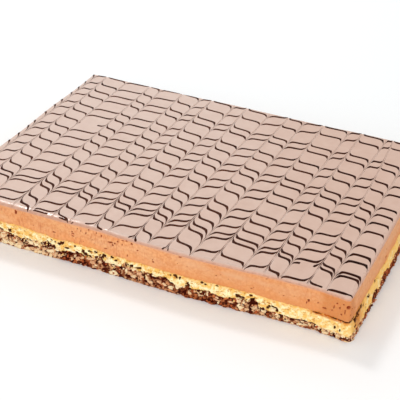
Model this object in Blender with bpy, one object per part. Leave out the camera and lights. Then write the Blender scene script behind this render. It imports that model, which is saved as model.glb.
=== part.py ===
"""Trianon cake: a rectangular layer cake of praline crunch, sponge and chocolate mousse
under a chocolate milk glaze, with piped dark lines combed into feathers.

Metres, +Z up. The origin is the centre of the flat underside, +X runs along the front
edge to the right and +Y runs to the back.
"""

import math

import bmesh
import bpy
from mathutils import Vector, noise

MM = 0.001

# Driving dimensions
GLAZE_LENGTH = 0.400
GLAZE_DEPTH = 0.300
GLAZE_CORNER = 0.004
CAKE_HEIGHT = 0.044
GLAZE_THICKNESS = 0.0023
GLAZE_ROUNDING = 0.0020
GAP = 0.0003

# Heights of the layer boundaries, which tilt from the left end to the right end
CRUNCH_TOP_LEFT = 0.0150
CRUNCH_TOP_RIGHT = 0.0078
SPONGE_TOP_LEFT = 0.0226
SPONGE_TOP_RIGHT = 0.0200
BOUNDARY_WAVE = 0.0005
FLAT_INSET = 0.012

# How far the cut sides stand out at the foot, past the glaze's edge
FOOT_ENDS = 0.0055
FOOT_FRONT_BACK = 0.0014
MOUSSE_SHOULDER = 0.0015
MOUSSE_INSET = 0.0008
MOUSSE_WAIST = 0.0003
MOUSSE_WAIST_HEIGHT = 0.030

# Unevenness of the sides. The knife wandered: each pair is a distance along the front
# edge from its left end, or along the right edge from the front, and how far the edge
# stands out there, in mm.
FRONT_EDGE_MM = (
    (0, -1.0), (30, -1.5), (60, -1.8), (85, -1.4), (125, -1.5), (145, -2.4), (165, -2.1),
    (185, -0.9), (205, -0.2), (230, 0.4), (255, 0.4), (275, -0.3), (300, -1.6), (320, -3.1),
    (340, -3.9), (358, -4.4), (372, -4.3), (386, -2.8), (400, -0.8),
)
RIGHT_EDGE_MM = (
    (0, -0.6), (20, 0.1), (40, 0.7), (60, 1.2), (90, 1.8), (120, 2.4), (150, 2.8),
    (190, 3.0), (230, 2.6), (270, 1.4), (300, 0.0),
)
EDGE_REACH = 0.020
OTHER_WAVE = 0.0006
SPONGE_CRAG = 0.0014
CRUNCH_CRAG = 0.0026
CRAG_SIZE = 0.0065

# Distances between the points of an outline, and steps round each corner
CRAGGY_SPACING = 0.0090
SMOOTH_SPACING = 0.0140
CORNER_STEPS = 3

# Piped lines: distance from the front edge in mm, near the left end, half way and near
# the right end
LINES_MM = (
    (297.5, 295.5, 296), (276, 274, 280), (257, 248, 244.5), (242, 235, 231),
    (219.5, 210, 204), (203.5, 193, 186.5), (184, 172, 159.5), (164.5, 158, 146),
    (147.5, 137, 129), (129.5, 121, 112), (109, 96.5, 86.5), (91, 81, 70),
    (70, 62, 57), (55.5, 49.5, 38.5), (47, 40, 32), (26, 17, 7.5), (11, -2, -20),
)
LINE_LEFT_MM = 60
LINE_RIGHT_MM = 370
FRONT_LINE_END_MM = 164
LINE_WIDTH = 0.0027
LINE_RELIEF = 0.0005
LINE_SUNK = 0.0006
LINE_END_INSET = 0.0030

# Combed strokes: distance from the left edge in mm, at the back edge, half way and at
# the front edge. They point to the front and to the back in turn.
STROKES_MM = (
    (5, 6, 7), (17.5, 22, 23), (44.5, 45, 45.5), (73, 74, 72.5), (88.5, 92, 92),
    (114, 116.5, 115), (138.5, 135, 133.5), (150.5, 150, 157.5), (178.5, 176.5, 172),
    (192.5, 194.5, 197.5), (221, 217, 212.5), (242, 235.5, 230), (261, 259, 254),
    (282, 280, 274), (312, 307, 302.5), (325, 322, 321), (353, 345, 335.5),
    (359, 363.5, 359), (384, 380, 376.5),
)
HOOK_REACH = 0.0100
HOOK_DECAY = 0.0020
SLOPE_REACH = 0.0010
SLOPE_DECAY = 0.0070
STROKE_SECTIONS = (-0.0036, -0.0008, 0.0008, 0.0036)

SHARP_DEGREES = 40
SURFACES = {
    "crunch_base": ((0.30, 0.15, 0.07), 0.75),
    "sponge_layer": ((0.90, 0.68, 0.36), 0.90),
    "mousse_layer": ((0.72, 0.42, 0.23), 0.60),
    "glaze_top": ((0.70, 0.50, 0.40), 0.28),
}


def clear_scene():
    for old in list(bpy.data.objects):
        bpy.data.objects.remove(old)


def new_collection(name):
    group = bpy.data.collections.new(name)
    bpy.context.scene.collection.children.link(group)
    return group


def new_object(name, bm, group):
    bmesh.ops.recalc_face_normals(bm, faces=bm.faces[:])
    mesh = bpy.data.meshes.new(name)
    bm.to_mesh(mesh)
    bm.free()
    piece = bpy.data.objects.new(name, mesh)
    group.objects.link(piece)
    return piece


def give_material(piece):
    colour, roughness = SURFACES[piece.name]
    material = bpy.data.materials.new(piece.name)
    material.use_nodes = True
    shader = material.node_tree.nodes["Principled BSDF"]
    shader.inputs["Base Color"].default_value = (*colour, 1.0)
    shader.inputs["Roughness"].default_value = roughness
    shader.inputs["Metallic"].default_value = 0.0
    piece.data.materials.append(material)


def parabola(start, middle, end, share):
    """The value at share 0 to 1 of the parabola through three evenly spaced values."""
    bend = start - 2 * middle + end
    return start + share * (4 * middle - 3 * start - end) + 2 * bend * share * share


# ---- Outline and heights -------------------------------------------------------------

def edge_offset(points, along):
    """How far an edge stands out at a distance along it, eased from point to point."""
    along = min(max(along / MM, points[0][0]), points[-1][0])
    for (start, low), (end, high) in zip(points, points[1:]):
        if along <= end:
            share = (along - start) / (end - start)
            return (low + (high - low) * share * share * (3 - 2 * share)) * MM


def front_edge(x):
    return edge_offset(FRONT_EDGE_MM, x + GLAZE_LENGTH / 2)


def right_edge(y):
    return edge_offset(RIGHT_EDGE_MM, y + GLAZE_DEPTH / 2)


def wandered(place, outward):
    """An outline place moved to where the cut sides really ran."""
    near_front = max(0.0, 1 - (place.y + GLAZE_DEPTH / 2) / EDGE_REACH)
    near_right = max(0.0, 1 - (GLAZE_LENGTH / 2 - place.x) / EDGE_REACH)
    moved = place + Vector((right_edge(place.y) * near_right, -front_edge(place.x) * near_front))
    wave = OTHER_WAVE * math.sin(math.tau * (place.x * 6.5 + place.y * 8.0) + 1.0)
    other = max(0.0, -outward.x, outward.y)
    return moved + outward * wave * other


def outline(spacing):
    """Places round the glaze's edge, each with its outward direction."""
    half_x = GLAZE_LENGTH / 2 - GLAZE_CORNER
    half_y = GLAZE_DEPTH / 2 - GLAZE_CORNER
    corners = [(half_x, -half_y), (half_x, half_y), (-half_x, half_y), (-half_x, -half_y)]
    places = []
    for index, corner in enumerate(corners):
        start, end = Vector(corners[index - 1]), Vector(corner)
        direction = (end - start).normalized()
        outward = Vector((direction.y, -direction.x))
        steps = round((end - start).length / spacing)
        for step in range(steps):
            places.append((start.lerp(end, step / steps) + outward * GLAZE_CORNER, outward))
        for step in range(CORNER_STEPS):
            turn = math.radians(90 * step / CORNER_STEPS)
            turned = outward * math.cos(turn) + direction * math.sin(turn)
            places.append((end + turned * GLAZE_CORNER, turned))
    return [(wandered(place, outward), outward) for place, outward in places]


def tilted(left, right, x):
    return left + (right - left) * (x / GLAZE_LENGTH + 0.5)


def boundary_wave(x, y):
    return BOUNDARY_WAVE * math.sin(62 * x + 47 * y) * math.cos(29 * x - 54 * y)


def crunch_top(x, y, wave):
    return tilted(CRUNCH_TOP_LEFT, CRUNCH_TOP_RIGHT, x) + wave * boundary_wave(x, y)


def sponge_top(x, y, wave):
    return tilted(SPONGE_TOP_LEFT, SPONGE_TOP_RIGHT, x) + wave * boundary_wave(y, x)


def foot_spread(outward, height):
    """How far the side stands out at a height: little in the mousse, more below it."""
    foot = FOOT_ENDS * outward.x ** 2 + FOOT_FRONT_BACK * outward.y ** 2
    down = 1 - height / (CAKE_HEIGHT - GLAZE_THICKNESS)
    return foot * down ** 1.8


def crag(place, height, depth):
    spot = Vector((place.x, place.y, height)) / CRAG_SIZE
    return depth * noise.noise(spot)


# ---- Layers --------------------------------------------------------------------------

def loft(name, rings, group, fan_top=True):
    """A solid grown from a face, extruded once for each further ring of places. Its flat
    ends are fans about their middle, which leaves no slivers."""
    bm = bmesh.new()
    first = bm.faces.new([bm.verts.new(place) for place in rings[0]])
    face = first
    for ring in rings[1:]:
        grown = bmesh.ops.extrude_face_region(bm, geom=[face])["geom"]
        if face is not first:
            bmesh.ops.delete(bm, geom=[face], context="FACES_ONLY")
        face = next(item for item in grown if isinstance(item, bmesh.types.BMFace))
        for vert, place in zip(face.verts, ring):
            vert.co = place
    bmesh.ops.poke(bm, faces=[first, face] if fan_top else [first])
    return new_object(name, bm, group)


def ring_at(places, height_at, wave, inset, depth):
    """One ring of a layer: each outline place at its height, moved out by the spread."""
    ring = []
    for place, outward in places:
        height = height_at(place.x, place.y, wave)
        out = foot_spread(outward, height) + crag(place, height, depth) - inset
        spot = place + outward * out
        ring.append(Vector((spot.x, spot.y, height_at(spot.x, spot.y, wave))))
    return ring


def middle_of(low, high, share):
    """Height function part way between two boundaries."""
    return lambda x, y, wave: low(x, y, wave) * (1 - share) + high(x, y, wave) * share


def raised(height_at, lift):
    return lambda x, y, wave: height_at(x, y, wave) + lift


def ground(x, y, wave):
    return 0.0


def make_crunch(group):
    places = outline(CRAGGY_SPACING)
    rings = [
        ring_at(places, ground, 0, 0.0006, CRUNCH_CRAG),
        ring_at(places, middle_of(ground, crunch_top, 0.35), 1, 0, CRUNCH_CRAG),
        ring_at(places, middle_of(ground, crunch_top, 0.70), 1, 0, CRUNCH_CRAG),
        ring_at(places, crunch_top, 1, 0.0004, CRUNCH_CRAG),
        ring_at(places, crunch_top, 0, FLAT_INSET, 0),
    ]
    return loft("crunch_base", rings, group)


def make_sponge(group):
    places = outline(CRAGGY_SPACING)
    floor = raised(crunch_top, GAP)
    rings = [
        ring_at(places, floor, 0, FLAT_INSET, 0),
        ring_at(places, floor, 1, 0, SPONGE_CRAG),
        ring_at(places, middle_of(floor, sponge_top, 0.5), 1, -0.0003, SPONGE_CRAG),
        ring_at(places, sponge_top, 1, 0.0003, SPONGE_CRAG),
        ring_at(places, sponge_top, 0, FLAT_INSET, 0),
    ]
    return loft("sponge_layer", rings, group)


def make_mousse(group):
    places = outline(SMOOTH_SPACING)
    floor = raised(sponge_top, GAP)
    top = CAKE_HEIGHT - GLAZE_THICKNESS - GAP
    rings = [
        ring_at(places, floor, 0, FLAT_INSET, 0),
        ring_at(places, floor, 1, 0, 0),
        ring_at(places, raised(ground, MOUSSE_WAIST_HEIGHT), 0, MOUSSE_WAIST, 0),
        ring_at(places, raised(ground, top - MOUSSE_SHOULDER), 0, 0, 0),
        ring_at(places, raised(ground, top), 0, MOUSSE_INSET, 0),
    ]
    return loft("mousse_layer", rings, group)


def make_glaze_slab(group):
    """The glaze: a thin slab whose rim rolls over in a quarter round."""
    places = outline(SMOOTH_SPACING)
    low = CAKE_HEIGHT - GLAZE_THICKNESS
    rings = [[Vector((*(p - o * GLAZE_ROUNDING * 0.3), low)) for p, o in places]]
    for turn in (0.0, 30.0, 60.0, 90.0):
        inset = GLAZE_ROUNDING * (1 - math.cos(math.radians(turn)))
        height = CAKE_HEIGHT - GLAZE_ROUNDING * (1 - math.sin(math.radians(turn)))
        rings.append([Vector((*(p - o * inset), height)) for p, o in places])
    return loft("glaze_top", rings, group, fan_top=False)


# ---- Feathered lines -----------------------------------------------------------------

def line_y(line, x):
    """Where a piped line lies before it is combed."""
    share = (x + GLAZE_LENGTH / 2 - LINE_LEFT_MM * MM) / ((LINE_RIGHT_MM - LINE_LEFT_MM) * MM)
    return parabola(*line, share) * MM - GLAZE_DEPTH / 2


def stroke_x(stroke, y):
    back, middle, front = stroke
    share = y / GLAZE_DEPTH + 0.5
    return parabola(front, middle, back, share) * MM - GLAZE_LENGTH / 2


def drag(distance):
    """How far a stroke pulls a line along with it, at a distance to its side."""
    hook = HOOK_REACH * math.exp(-abs(distance) / HOOK_DECAY)
    return hook + SLOPE_REACH * math.exp(-abs(distance) / SLOPE_DECAY)


def combed_sections(line, right_end):
    """Places along a combed line: its ends, and the bends beside each stroke."""
    reach = GLAZE_LENGTH / 2 - LINE_END_INSET
    spots = [-reach]
    for stroke in STROKES_MM:
        centre = stroke_x(stroke, line_y(line, stroke[1] * MM - GLAZE_LENGTH / 2))
        spots += [centre + step for step in STROKE_SECTIONS]
    spots.append(right_end)
    spots = sorted(x for x in spots if -reach <= x <= right_end)
    sections = []
    for x in spots:
        y = line_y(line, x)
        pull = 0.0
        for index, stroke in enumerate(STROKES_MM):
            sign = -1 if index % 2 == 0 else 1
            pull += sign * drag(x - stroke_x(stroke, y))
        nearest = min(STROKES_MM, key=lambda stroke: abs(stroke_x(stroke, y) - x))
        lean = stroke_x(nearest, y + pull) - stroke_x(nearest, y)
        front_limit = LINE_END_INSET - GLAZE_DEPTH / 2 - front_edge(x)
        limited = min(max(y + pull, front_limit), GLAZE_DEPTH / 2 - LINE_END_INSET)
        sections.append((x + lean, limited))
    return sections


def make_line(index, line, group):
    """A low ridge along a combed line, sunk into the glaze it is fused to."""
    bm = bmesh.new()
    last = None
    low = CAKE_HEIGHT - LINE_SUNK
    high = CAKE_HEIGHT + LINE_RELIEF
    reach = GLAZE_LENGTH / 2 - LINE_END_INSET
    runs_off = line is LINES_MM[-1]
    right_end = FRONT_LINE_END_MM * MM - GLAZE_LENGTH / 2 if runs_off else reach
    for x, y in combed_sections(line, right_end):
        front = bm.verts.new((x, y - LINE_WIDTH / 2, low))
        back = bm.verts.new((x, y + LINE_WIDTH / 2, low))
        crest = bm.verts.new((x, y, high))
        section = [front, back, crest]
        if last is None:
            bm.faces.new(section)
        else:
            for i in range(3):
                j = (i + 1) % 3
                bm.faces.new([last[i], last[j], section[j], section[i]])
        last = section
    bm.faces.new(last)
    return new_object(f"line_{index + 1:02d}", bm, group)


def fuse(body, group, solver):
    """Joins every object of a collection to a body, then removes them."""
    union = body.modifiers.new("fuse", "BOOLEAN")
    union.operation = "UNION"
    union.operand_type = "COLLECTION"
    union.collection = group
    union.solver = solver
    graph = bpy.context.evaluated_depsgraph_get()
    fused = bpy.data.meshes.new_from_object(body.evaluated_get(graph))
    body.modifiers.clear()
    body.data = fused
    fused.name = body.name
    for piece in list(group.objects):
        bpy.data.objects.remove(piece)
    bpy.data.collections.remove(group)


def centre(pieces):
    """Moves all pieces alike, so that the origin is the middle of their box."""
    spots = [vert.co for piece in pieces for vert in piece.data.vertices]
    middle_x = (min(spot.x for spot in spots) + max(spot.x for spot in spots)) / 2
    middle_y = (min(spot.y for spot in spots) + max(spot.y for spot in spots)) / 2
    for piece in pieces:
        piece.location = (-middle_x, -middle_y, 0)


def main():
    clear_scene()
    cake = new_collection("trianon_cake")
    lines = new_collection("feather_lines")
    crunch = make_crunch(cake)
    sponge = make_sponge(cake)
    mousse = make_mousse(cake)
    glaze = make_glaze_slab(cake)
    for index, line in enumerate(LINES_MM):
        make_line(index, line, lines)
    fuse(glaze, lines, "EXACT")
    layers = (crunch, sponge, mousse, glaze)
    for piece in layers:
        give_material(piece)
        piece.data.shade_smooth()
        piece.data.set_sharp_from_angle(angle=math.radians(SHARP_DEGREES))
    centre(layers)


main()
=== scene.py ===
import math

import bmesh
import bpy
import numpy as np
from mathutils import Matrix, Vector, noise


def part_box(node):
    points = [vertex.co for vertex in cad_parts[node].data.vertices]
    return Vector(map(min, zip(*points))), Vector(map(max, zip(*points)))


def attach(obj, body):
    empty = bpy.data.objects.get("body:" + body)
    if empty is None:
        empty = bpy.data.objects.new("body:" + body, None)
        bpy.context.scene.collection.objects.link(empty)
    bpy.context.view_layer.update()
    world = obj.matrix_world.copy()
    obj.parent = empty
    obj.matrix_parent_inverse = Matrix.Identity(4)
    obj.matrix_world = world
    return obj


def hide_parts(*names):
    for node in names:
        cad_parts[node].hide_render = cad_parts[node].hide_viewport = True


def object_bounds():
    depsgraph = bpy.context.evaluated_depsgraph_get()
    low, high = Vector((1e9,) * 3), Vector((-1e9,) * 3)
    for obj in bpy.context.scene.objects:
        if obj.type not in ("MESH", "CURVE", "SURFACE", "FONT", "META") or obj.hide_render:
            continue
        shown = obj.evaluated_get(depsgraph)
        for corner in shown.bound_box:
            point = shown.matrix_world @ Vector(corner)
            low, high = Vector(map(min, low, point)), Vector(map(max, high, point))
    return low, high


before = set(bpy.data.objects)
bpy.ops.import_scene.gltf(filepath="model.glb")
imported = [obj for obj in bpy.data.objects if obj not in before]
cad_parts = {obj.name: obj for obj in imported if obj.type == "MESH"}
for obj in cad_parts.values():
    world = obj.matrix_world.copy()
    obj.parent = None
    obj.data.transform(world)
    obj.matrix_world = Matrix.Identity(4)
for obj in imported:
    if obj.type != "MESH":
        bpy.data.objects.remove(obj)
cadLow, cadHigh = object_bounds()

mm = 0.001
noiseShift = 7.77                       # each seed reads the noise this much further on

# The whole cake, in metres. X runs along the front edge, Y to the back.
cake = {
    "length": 0.400, "depth": 0.300, "corner": 0.004, "top": 0.044,
    "glazeThickness": 0.0023,
    "footEnds": 0.0055,                 # how far the left and right sides spread at the foot
    "footFrontBack": 0.0014,
    "footCurve": 1.8,
    "edgeReach": 0.020,                 # how far in from an edge its wander dies away
    "wave": 0.0006,                     # how much the back and the left side waver
    "waves": (6.5, 8.0),                # that waver's waves per metre of X and of Y
    "inset": 0.010,                     # how far inside its wall a layer's flat faces start
    "room": 0.00004,                    # kept free inside the solids' box
}
halfX, halfY = cake["length"] / 2, cake["depth"] / 2

# Where the knife wandered: mm along the front edge from its left end, or along the
# right edge from the front, and how many mm the edge stands out there.
frontEdgePoints = (
    (0, -1.0), (30, -1.5), (60, -1.8), (85, -1.4), (125, -1.5), (145, -2.4), (165, -2.1),
    (185, -0.9), (205, -0.2), (230, 0.4), (255, 0.4), (275, -0.3), (300, -1.6), (320, -3.1),
    (340, -3.9), (358, -4.4), (372, -4.3), (386, -2.8), (400, -0.8),
)
rightEdgePoints = (
    (0, -0.6), (20, 0.1), (40, 0.7), (60, 1.2), (90, 1.8), (120, 2.4), (150, 2.8),
    (190, 3.0), (230, 2.6), (270, 1.4), (300, 0.0),
)


def ramp(value, start, end):
    # 0 at start, 1 at end and even between them; the end may be the smaller one
    return np.clip((value - start) / (end - start), 0, 1)


def between(limits, share):
    # the first limit where share is 0, the second where it is 1
    low, high = limits
    return low + (high - low) * share


def eased(pointsInMm, along):
    # a value at each distance along, eased from one listed point to the next
    spots = np.array(pointsInMm) * mm
    k = np.clip(np.searchsorted(spots[:, 0], along) - 1, 0, len(spots) - 2)
    share = ramp(along, spots[k, 0], spots[k + 1, 0])
    return spots[k, 1] + (spots[k + 1, 1] - spots[k, 1]) * share * share * (3 - 2 * share)


def frontEdge(x):
    return eased(frontEdgePoints, x + halfX)


def rightEdge(y):
    return eased(rightEdgePoints, y + halfY)


def otherWave(x, y):
    wavesX, wavesY = cake["waves"]
    return cake["wave"] * np.sin(math.tau * (x * wavesX + y * wavesY) + 1.0)


straightX, straightY = 2 * (halfX - cake["corner"]), 2 * (halfY - cake["corner"])
cornerArc = cake["corner"] * math.pi / 2
outlineLength = 2 * (straightX + straightY) + 4 * cornerArc
frontStart = -cake["corner"]            # where the front and the right side would start if square
rightStart = straightX + cornerArc - cake["corner"]


def outlineAt(along):
    # places and outward directions round the glaze's edge, from the front left corner
    rest = np.mod(along, outlineLength)
    place, outward = np.zeros((len(rest), 2)), np.zeros((len(rest), 2))
    start = np.array([-straightX / 2, -straightY / 2])
    direction = np.array([1.0, 0.0])
    for run in (straightX, straightY, straightX, straightY):
        normal = np.array([direction[1], -direction[0]])
        on = (rest >= 0) & (rest <= run)
        place[on] = start + rest[on, None] * direction + normal * cake["corner"]
        outward[on] = normal
        start = start + direction * run
        rest = rest - run
        on = (rest > 0) & (rest < cornerArc)
        turn = rest[on, None] / cake["corner"]
        outward[on] = normal * np.cos(turn) + direction * np.sin(turn)
        place[on] = start + outward[on] * cake["corner"]
        rest = rest - cornerArc
        direction = np.array([-direction[1], direction[0]])
    x, y = place[:, 0], place[:, 1]
    nearFront = ramp(y + halfY, cake["edgeReach"], 0)
    nearRight = ramp(halfX - x, cake["edgeReach"], 0)
    other = np.maximum(np.maximum(-outward[:, 0], outward[:, 1]), 0) * otherWave(x, y)
    moved = np.stack([x + rightEdge(y) * nearRight, y - frontEdge(x) * nearFront], 1)
    return moved + outward * other[:, None], outward


def footSpread(outward, height):
    foot = cake["footEnds"] * outward[..., 0] ** 2 + cake["footFrontBack"] * outward[..., 1] ** 2
    down = ramp(height, cake["top"] - cake["glazeThickness"], 0)
    return foot * down ** cake["footCurve"]


def lumps(points, size, octaves=3, stretch=(1, 1, 1), seed=0):
    # fractal noise of about -1 to 1 at each point
    spots = points * np.array(stretch) / size + seed * noiseShift
    values = [noise.fractal(spot, 1.0, 2.0, octaves) for spot in spots.reshape(-1, 3).tolist()]
    return np.reshape(values, points.shape[:-1])


def onFloor(place):
    # flat places with a height of 0
    return np.concatenate([place, np.zeros((len(place), 1))], 1)


glazeLow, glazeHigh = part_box("glaze_top")
edgePlaces = outlineAt(np.linspace(0, outlineLength, 3000))[0]
edgeMiddle = (edgePlaces.min(0) + edgePlaces.max(0)) / 2
cakeShift = np.array([(glazeLow.x + glazeHigh.x) / 2 - edgeMiddle[0],
                      (glazeLow.y + glazeHigh.y) / 2 - edgeMiddle[1], 0.0])


def makePiece(name, points, faces, material, smooth=True, masks=None):
    points = points + cakeShift
    room = cake["room"]
    points = np.clip(points, np.array(cadLow) + (room, room, 0), np.array(cadHigh) - room)
    mesh = bpy.data.meshes.new(name)
    mesh.from_pydata(points.tolist(), [], [list(face) for face in faces])
    for maskName, values in (masks or {}).items():
        mask = mesh.attributes.new(maskName, "FLOAT", "POINT")
        mask.data.foreach_set("value", np.asarray(values, np.float32).ravel())
    if smooth:
        mesh.shade_smooth()
    mesh.materials.append(material)
    piece = bpy.data.objects.new(name, mesh)
    bpy.context.scene.collection.objects.link(piece)
    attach(piece, "root")
    print(f"{name}: {len(mesh.vertices)} points, {len(mesh.polygons)} faces")
    return piece


def stripFaces(columns, rows, closed=True):
    # quads between neighbouring columns; point number = column * rows + row
    last = columns if closed else columns - 1
    column, row = np.meshgrid(np.arange(last), np.arange(rows - 1), indexing="ij")
    following = (column + 1) % columns
    quads = [column * rows + row, following * rows + row,
             following * rows + row + 1, column * rows + row + 1]
    return np.stack(quads, -1).reshape(-1, 4).tolist()


# Oval dents in the cut sides
dent = {
    "ragged": 0.45, "spread": 1.4,      # how ragged their edges are, and how far that can reach
    "raggedSize": 0.0020,
    "grow": 1.2,                        # what the listed sizes are multiplied by
    "depth": 0.0008, "deepen": 0.9,     # a listed dent's least depth, and more with its size
}


def dentWall(out, hollow, heights, step, dents, ragged):
    # presses dents into a wall; each is (along, height, half width, half height, depth)
    columns = out.shape[0]
    for along, height, halfWidth, halfHeight, depth in dents:
        middle = int(round(along / step))
        spread = int(halfWidth * dent["spread"] / step) + 1
        near = np.arange(middle - spread, middle + spread + 1)
        offset = (near * step - along) / halfWidth
        near = near % columns
        distance = np.hypot(offset[:, None], (heights[near] - height) / halfHeight)
        distance = distance * (1 + dent["ragged"] * ragged[near])
        press = np.sqrt(np.clip(1 - distance ** 2, 0, 1))
        out[near] -= press * depth
        hollow[near] = np.maximum(hollow[near], press)


def listedDents(spots, start):
    # dents from a list in mm, with along counted from the side's first corner
    dents = []
    for along, height, halfWidth, halfHeight in np.array(spots) * mm:
        depth = dent["depth"] + dent["deepen"] * min(halfWidth, halfHeight)
        wide, high = halfWidth * dent["grow"], halfHeight * dent["grow"]
        dents.append((start + along, height, wide, high, depth))
    return dents


# Where the front and the right side follow their own lists, in metres from the corners
listed = {
    "frontFrom": 0.054, "rightTo": 0.168, "overlap": 0.002,
    "frontStarts": (0.052, 0.060), "rightEnds": (0.170, 0.160),   # the blend into the rule
    "inside": (0.007, 0.004),                                     # and round the corners
}


def onListedSides(along):
    # True where the front or the right side has its own list
    along = np.mod(along, outlineLength)
    front = (along > listed["frontFrom"]) & (along < straightX + cornerArc)
    right = (along > rightStart - listed["overlap"]) & (along < rightStart + listed["rightTo"])
    return front | right


def bySide(place, frontPoints, rightPoints, elsewhere):
    # a listed value on the front and on the near part of the right side, noise elsewhere
    alongX, alongY = place[:, 0] + halfX, place[:, 1] + halfY
    onFront = ramp(alongY, *listed["inside"]) * ramp(alongX, *listed["frontStarts"])
    onRight = ramp(cake["length"] - alongX, *listed["inside"]) * ramp(alongY, *listed["rightEnds"])
    level = elsewhere + (eased(frontPoints, alongX) - elsewhere) * onFront
    return level + (eased(rightPoints, alongY) - level) * onRight


def makeWall(name, look, lowAt, highAt, material, shape):
    # a closed layer: its cut side as a fine wall round the cake, its flat faces plain
    columns = int(outlineLength / look["step"])
    step = outlineLength / columns
    place, outward = outlineAt(np.arange(columns) * step)
    share = np.linspace(0, 1, look["rows"])
    low, high = lowAt(place), highAt(place)
    heights = low[:, None] + (high - low)[:, None] * share
    wide = np.repeat(place[:, None], look["rows"], 1)
    out, masks = shape(np.concatenate([wide, heights[..., None]], -1), step, share)
    out = out + footSpread(outward[:, None], heights)
    wall = np.concatenate([wide + outward[:, None] * out[..., None], heights[..., None]], -1)
    inner = place - outward * cake["inset"]
    bottom = np.concatenate([inner, low[:, None]], 1)
    top = np.concatenate([inner, high[:, None]], 1)
    points = np.concatenate([bottom[:, None], wall, top[:, None]], 1).reshape(-1, 3)
    rows = look["rows"] + 2
    faces = stripFaces(columns, rows)
    first = len(points)
    for column in range(columns):
        following = (column + 1) % columns
        faces.append([first, following * rows, column * rows])
        faces.append([first + 1, column * rows + rows - 1, following * rows + rows - 1])
    points = np.concatenate([points, [[0, 0, low.mean()], [0, 0, high.mean()]]])
    masks["rise"] = np.repeat(share[None], columns, 0)
    spread = {}
    for maskName, values in masks.items():
        edged = np.concatenate([values[:, :1], values, values[:, -1:]], 1)
        spread[maskName] = np.append(edged.ravel(), [0, 0])
    return makePiece(name, points, faces, material, masks=spread)


def chipShape(rounds):
    # a small ball of triangles that each chip is bent from
    ball = bmesh.new()
    bmesh.ops.create_icosphere(ball, subdivisions=rounds, radius=1.0)
    points = np.array([vert.co for vert in ball.verts])
    faces = np.array([[vert.index for vert in face.verts] for face in ball.faces])
    ball.free()
    return points, faces


def turned(first, second, angles):
    # two coordinates of the chips' points, turned by each chip's angle
    cosine, sine = np.cos(angles)[:, None], np.sin(angles)[:, None]
    return first * cosine - second * sine, first * sine + second * cosine


# What all the chips in the cut sides share
chip = {
    "field": 90,                        # their bends come from this wide a piece of noise
    "plump": 1.05, "loose": 0.35,       # their fullness, and how far single corners are moved
    "lowest": 0.0001, "middleFrom": 0.0008,     # how low a point and a chip's middle may be
    "placeSeed": 100,
    "stain": (0.72, 0.54, 0.40, 1), "stained": 0.7, "clouds": (480.0, 4.0, 3.2), "bump": 0.0005,
}


def makeChips(name, look, spots, outwards, sizes, leans, tones, material, slotName):
    # angular chips stuck in the cut side, joined in one mesh
    dice = np.random.default_rng(look["seed"])
    ball, ballFaces = chipShape(look["rounds"])
    count = len(spots)
    shift = dice.random((count, 1, 3)) * chip["field"]
    seeds = (ball[None] * look["bend"] + shift).reshape(-1, 3).tolist()
    bend = np.array([noise.noise(seed) for seed in seeds]).reshape(count, -1, 1)
    points = ball[None] * (chip["plump"] + look["jagged"] * bend)
    points = points + (dice.random((count, len(ball), 3)) - 0.5) * look["jagged"] * chip["loose"]
    points = points * sizes[:, None, :] / 2
    yaw = np.radians(look["yaw"]) * (dice.random(count) * 2 - 1)
    x, z = turned(points[..., 0], points[..., 2], leans)
    x, y = turned(x, points[..., 1], yaw)
    sideways = np.stack([-outwards[:, 1], outwards[:, 0]], 1)
    flat = sideways[:, None, :] * x[..., None] + outwards[:, None, :] * y[..., None]
    points = np.concatenate([flat, z[..., None]], -1) + spots[:, None, :]
    points[..., 2] = np.maximum(points[..., 2], chip["lowest"])
    faces = (ballFaces[None] + (np.arange(count) * len(ball))[:, None, None]).reshape(-1, 3)
    return makePiece(name, points.reshape(-1, 3), faces.tolist(), material,
                     smooth=False, masks={"tone": np.repeat(tones, len(ball))})


def feed(tree, socket, value):
    # a link where the value is another node's socket, or else a plain value
    if isinstance(value, bpy.types.NodeSocket):
        tree.links.new(value, socket)
    else:
        socket.default_value = value


def addNode(tree, kind, inputs=None, **settings):
    node = tree.nodes.new(kind)
    for key, value in settings.items():
        setattr(node, key, value)
    for key, value in (inputs or {}).items():
        feed(tree, node.inputs[key], value)
    return node


def addMath(tree, operation, *values, clamp=False):
    inputs = dict(enumerate(values))
    return addNode(tree, "ShaderNodeMath", inputs, operation=operation, use_clamp=clamp).outputs[0]


def addNoise(tree, scale, detail, stretch=None):
    # noise over the piece, drawn out along an axis where stretch is below 1
    place = addNode(tree, "ShaderNodeTexCoord").outputs["Object"]
    if stretch:
        drawn = addNode(tree, "ShaderNodeMapping", {"Vector": place, "Scale": stretch})
        place = drawn.outputs["Vector"]
    cloud = addNode(tree, "ShaderNodeTexNoise", {"Vector": place, "Scale": scale, "Detail": detail})
    return cloud.outputs["Fac"]


def addRange(tree, value, start, end, low=0.0, high=1.0):
    # stretches a value so that start reads low and end reads high
    inputs = {"Value": value, "From Min": start, "From Max": end, "To Min": low, "To Max": high}
    return addNode(tree, "ShaderNodeMapRange", inputs).outputs["Result"]


def maskRamp(tree, name, start, end):
    # a stored mask, stretched so that start reads 0 and end reads 1
    stored = addNode(tree, "ShaderNodeAttribute", attribute_name=name)
    return addRange(tree, stored.outputs["Fac"], start, end)


def mixBy(tree, factor, first, second, **settings):
    # blends two colours; each may be a socket or a plain colour
    mix = addNode(tree, "ShaderNodeMix", data_type="RGBA", **settings)
    for key, value in (("Factor", factor), ("A", first), ("B", second)):
        feed(tree, mix.inputs[key], value)
    return mix.outputs["Result"]


def addBump(tree, shader, height, distance):
    bump = addNode(tree, "ShaderNodeBump", {"Height": height, "Distance": distance})
    feed(tree, shader.inputs["Normal"], bump.outputs["Normal"])


def colour(red, green, blue):
    # a colour given as it looks on a screen, 0 to 255
    parts = [value / 255 for value in (red, green, blue)]
    return (*[((v + 0.055) / 1.055) ** 2.4 if v > 0.04 else v / 12.92 for v in parts], 1)


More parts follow.
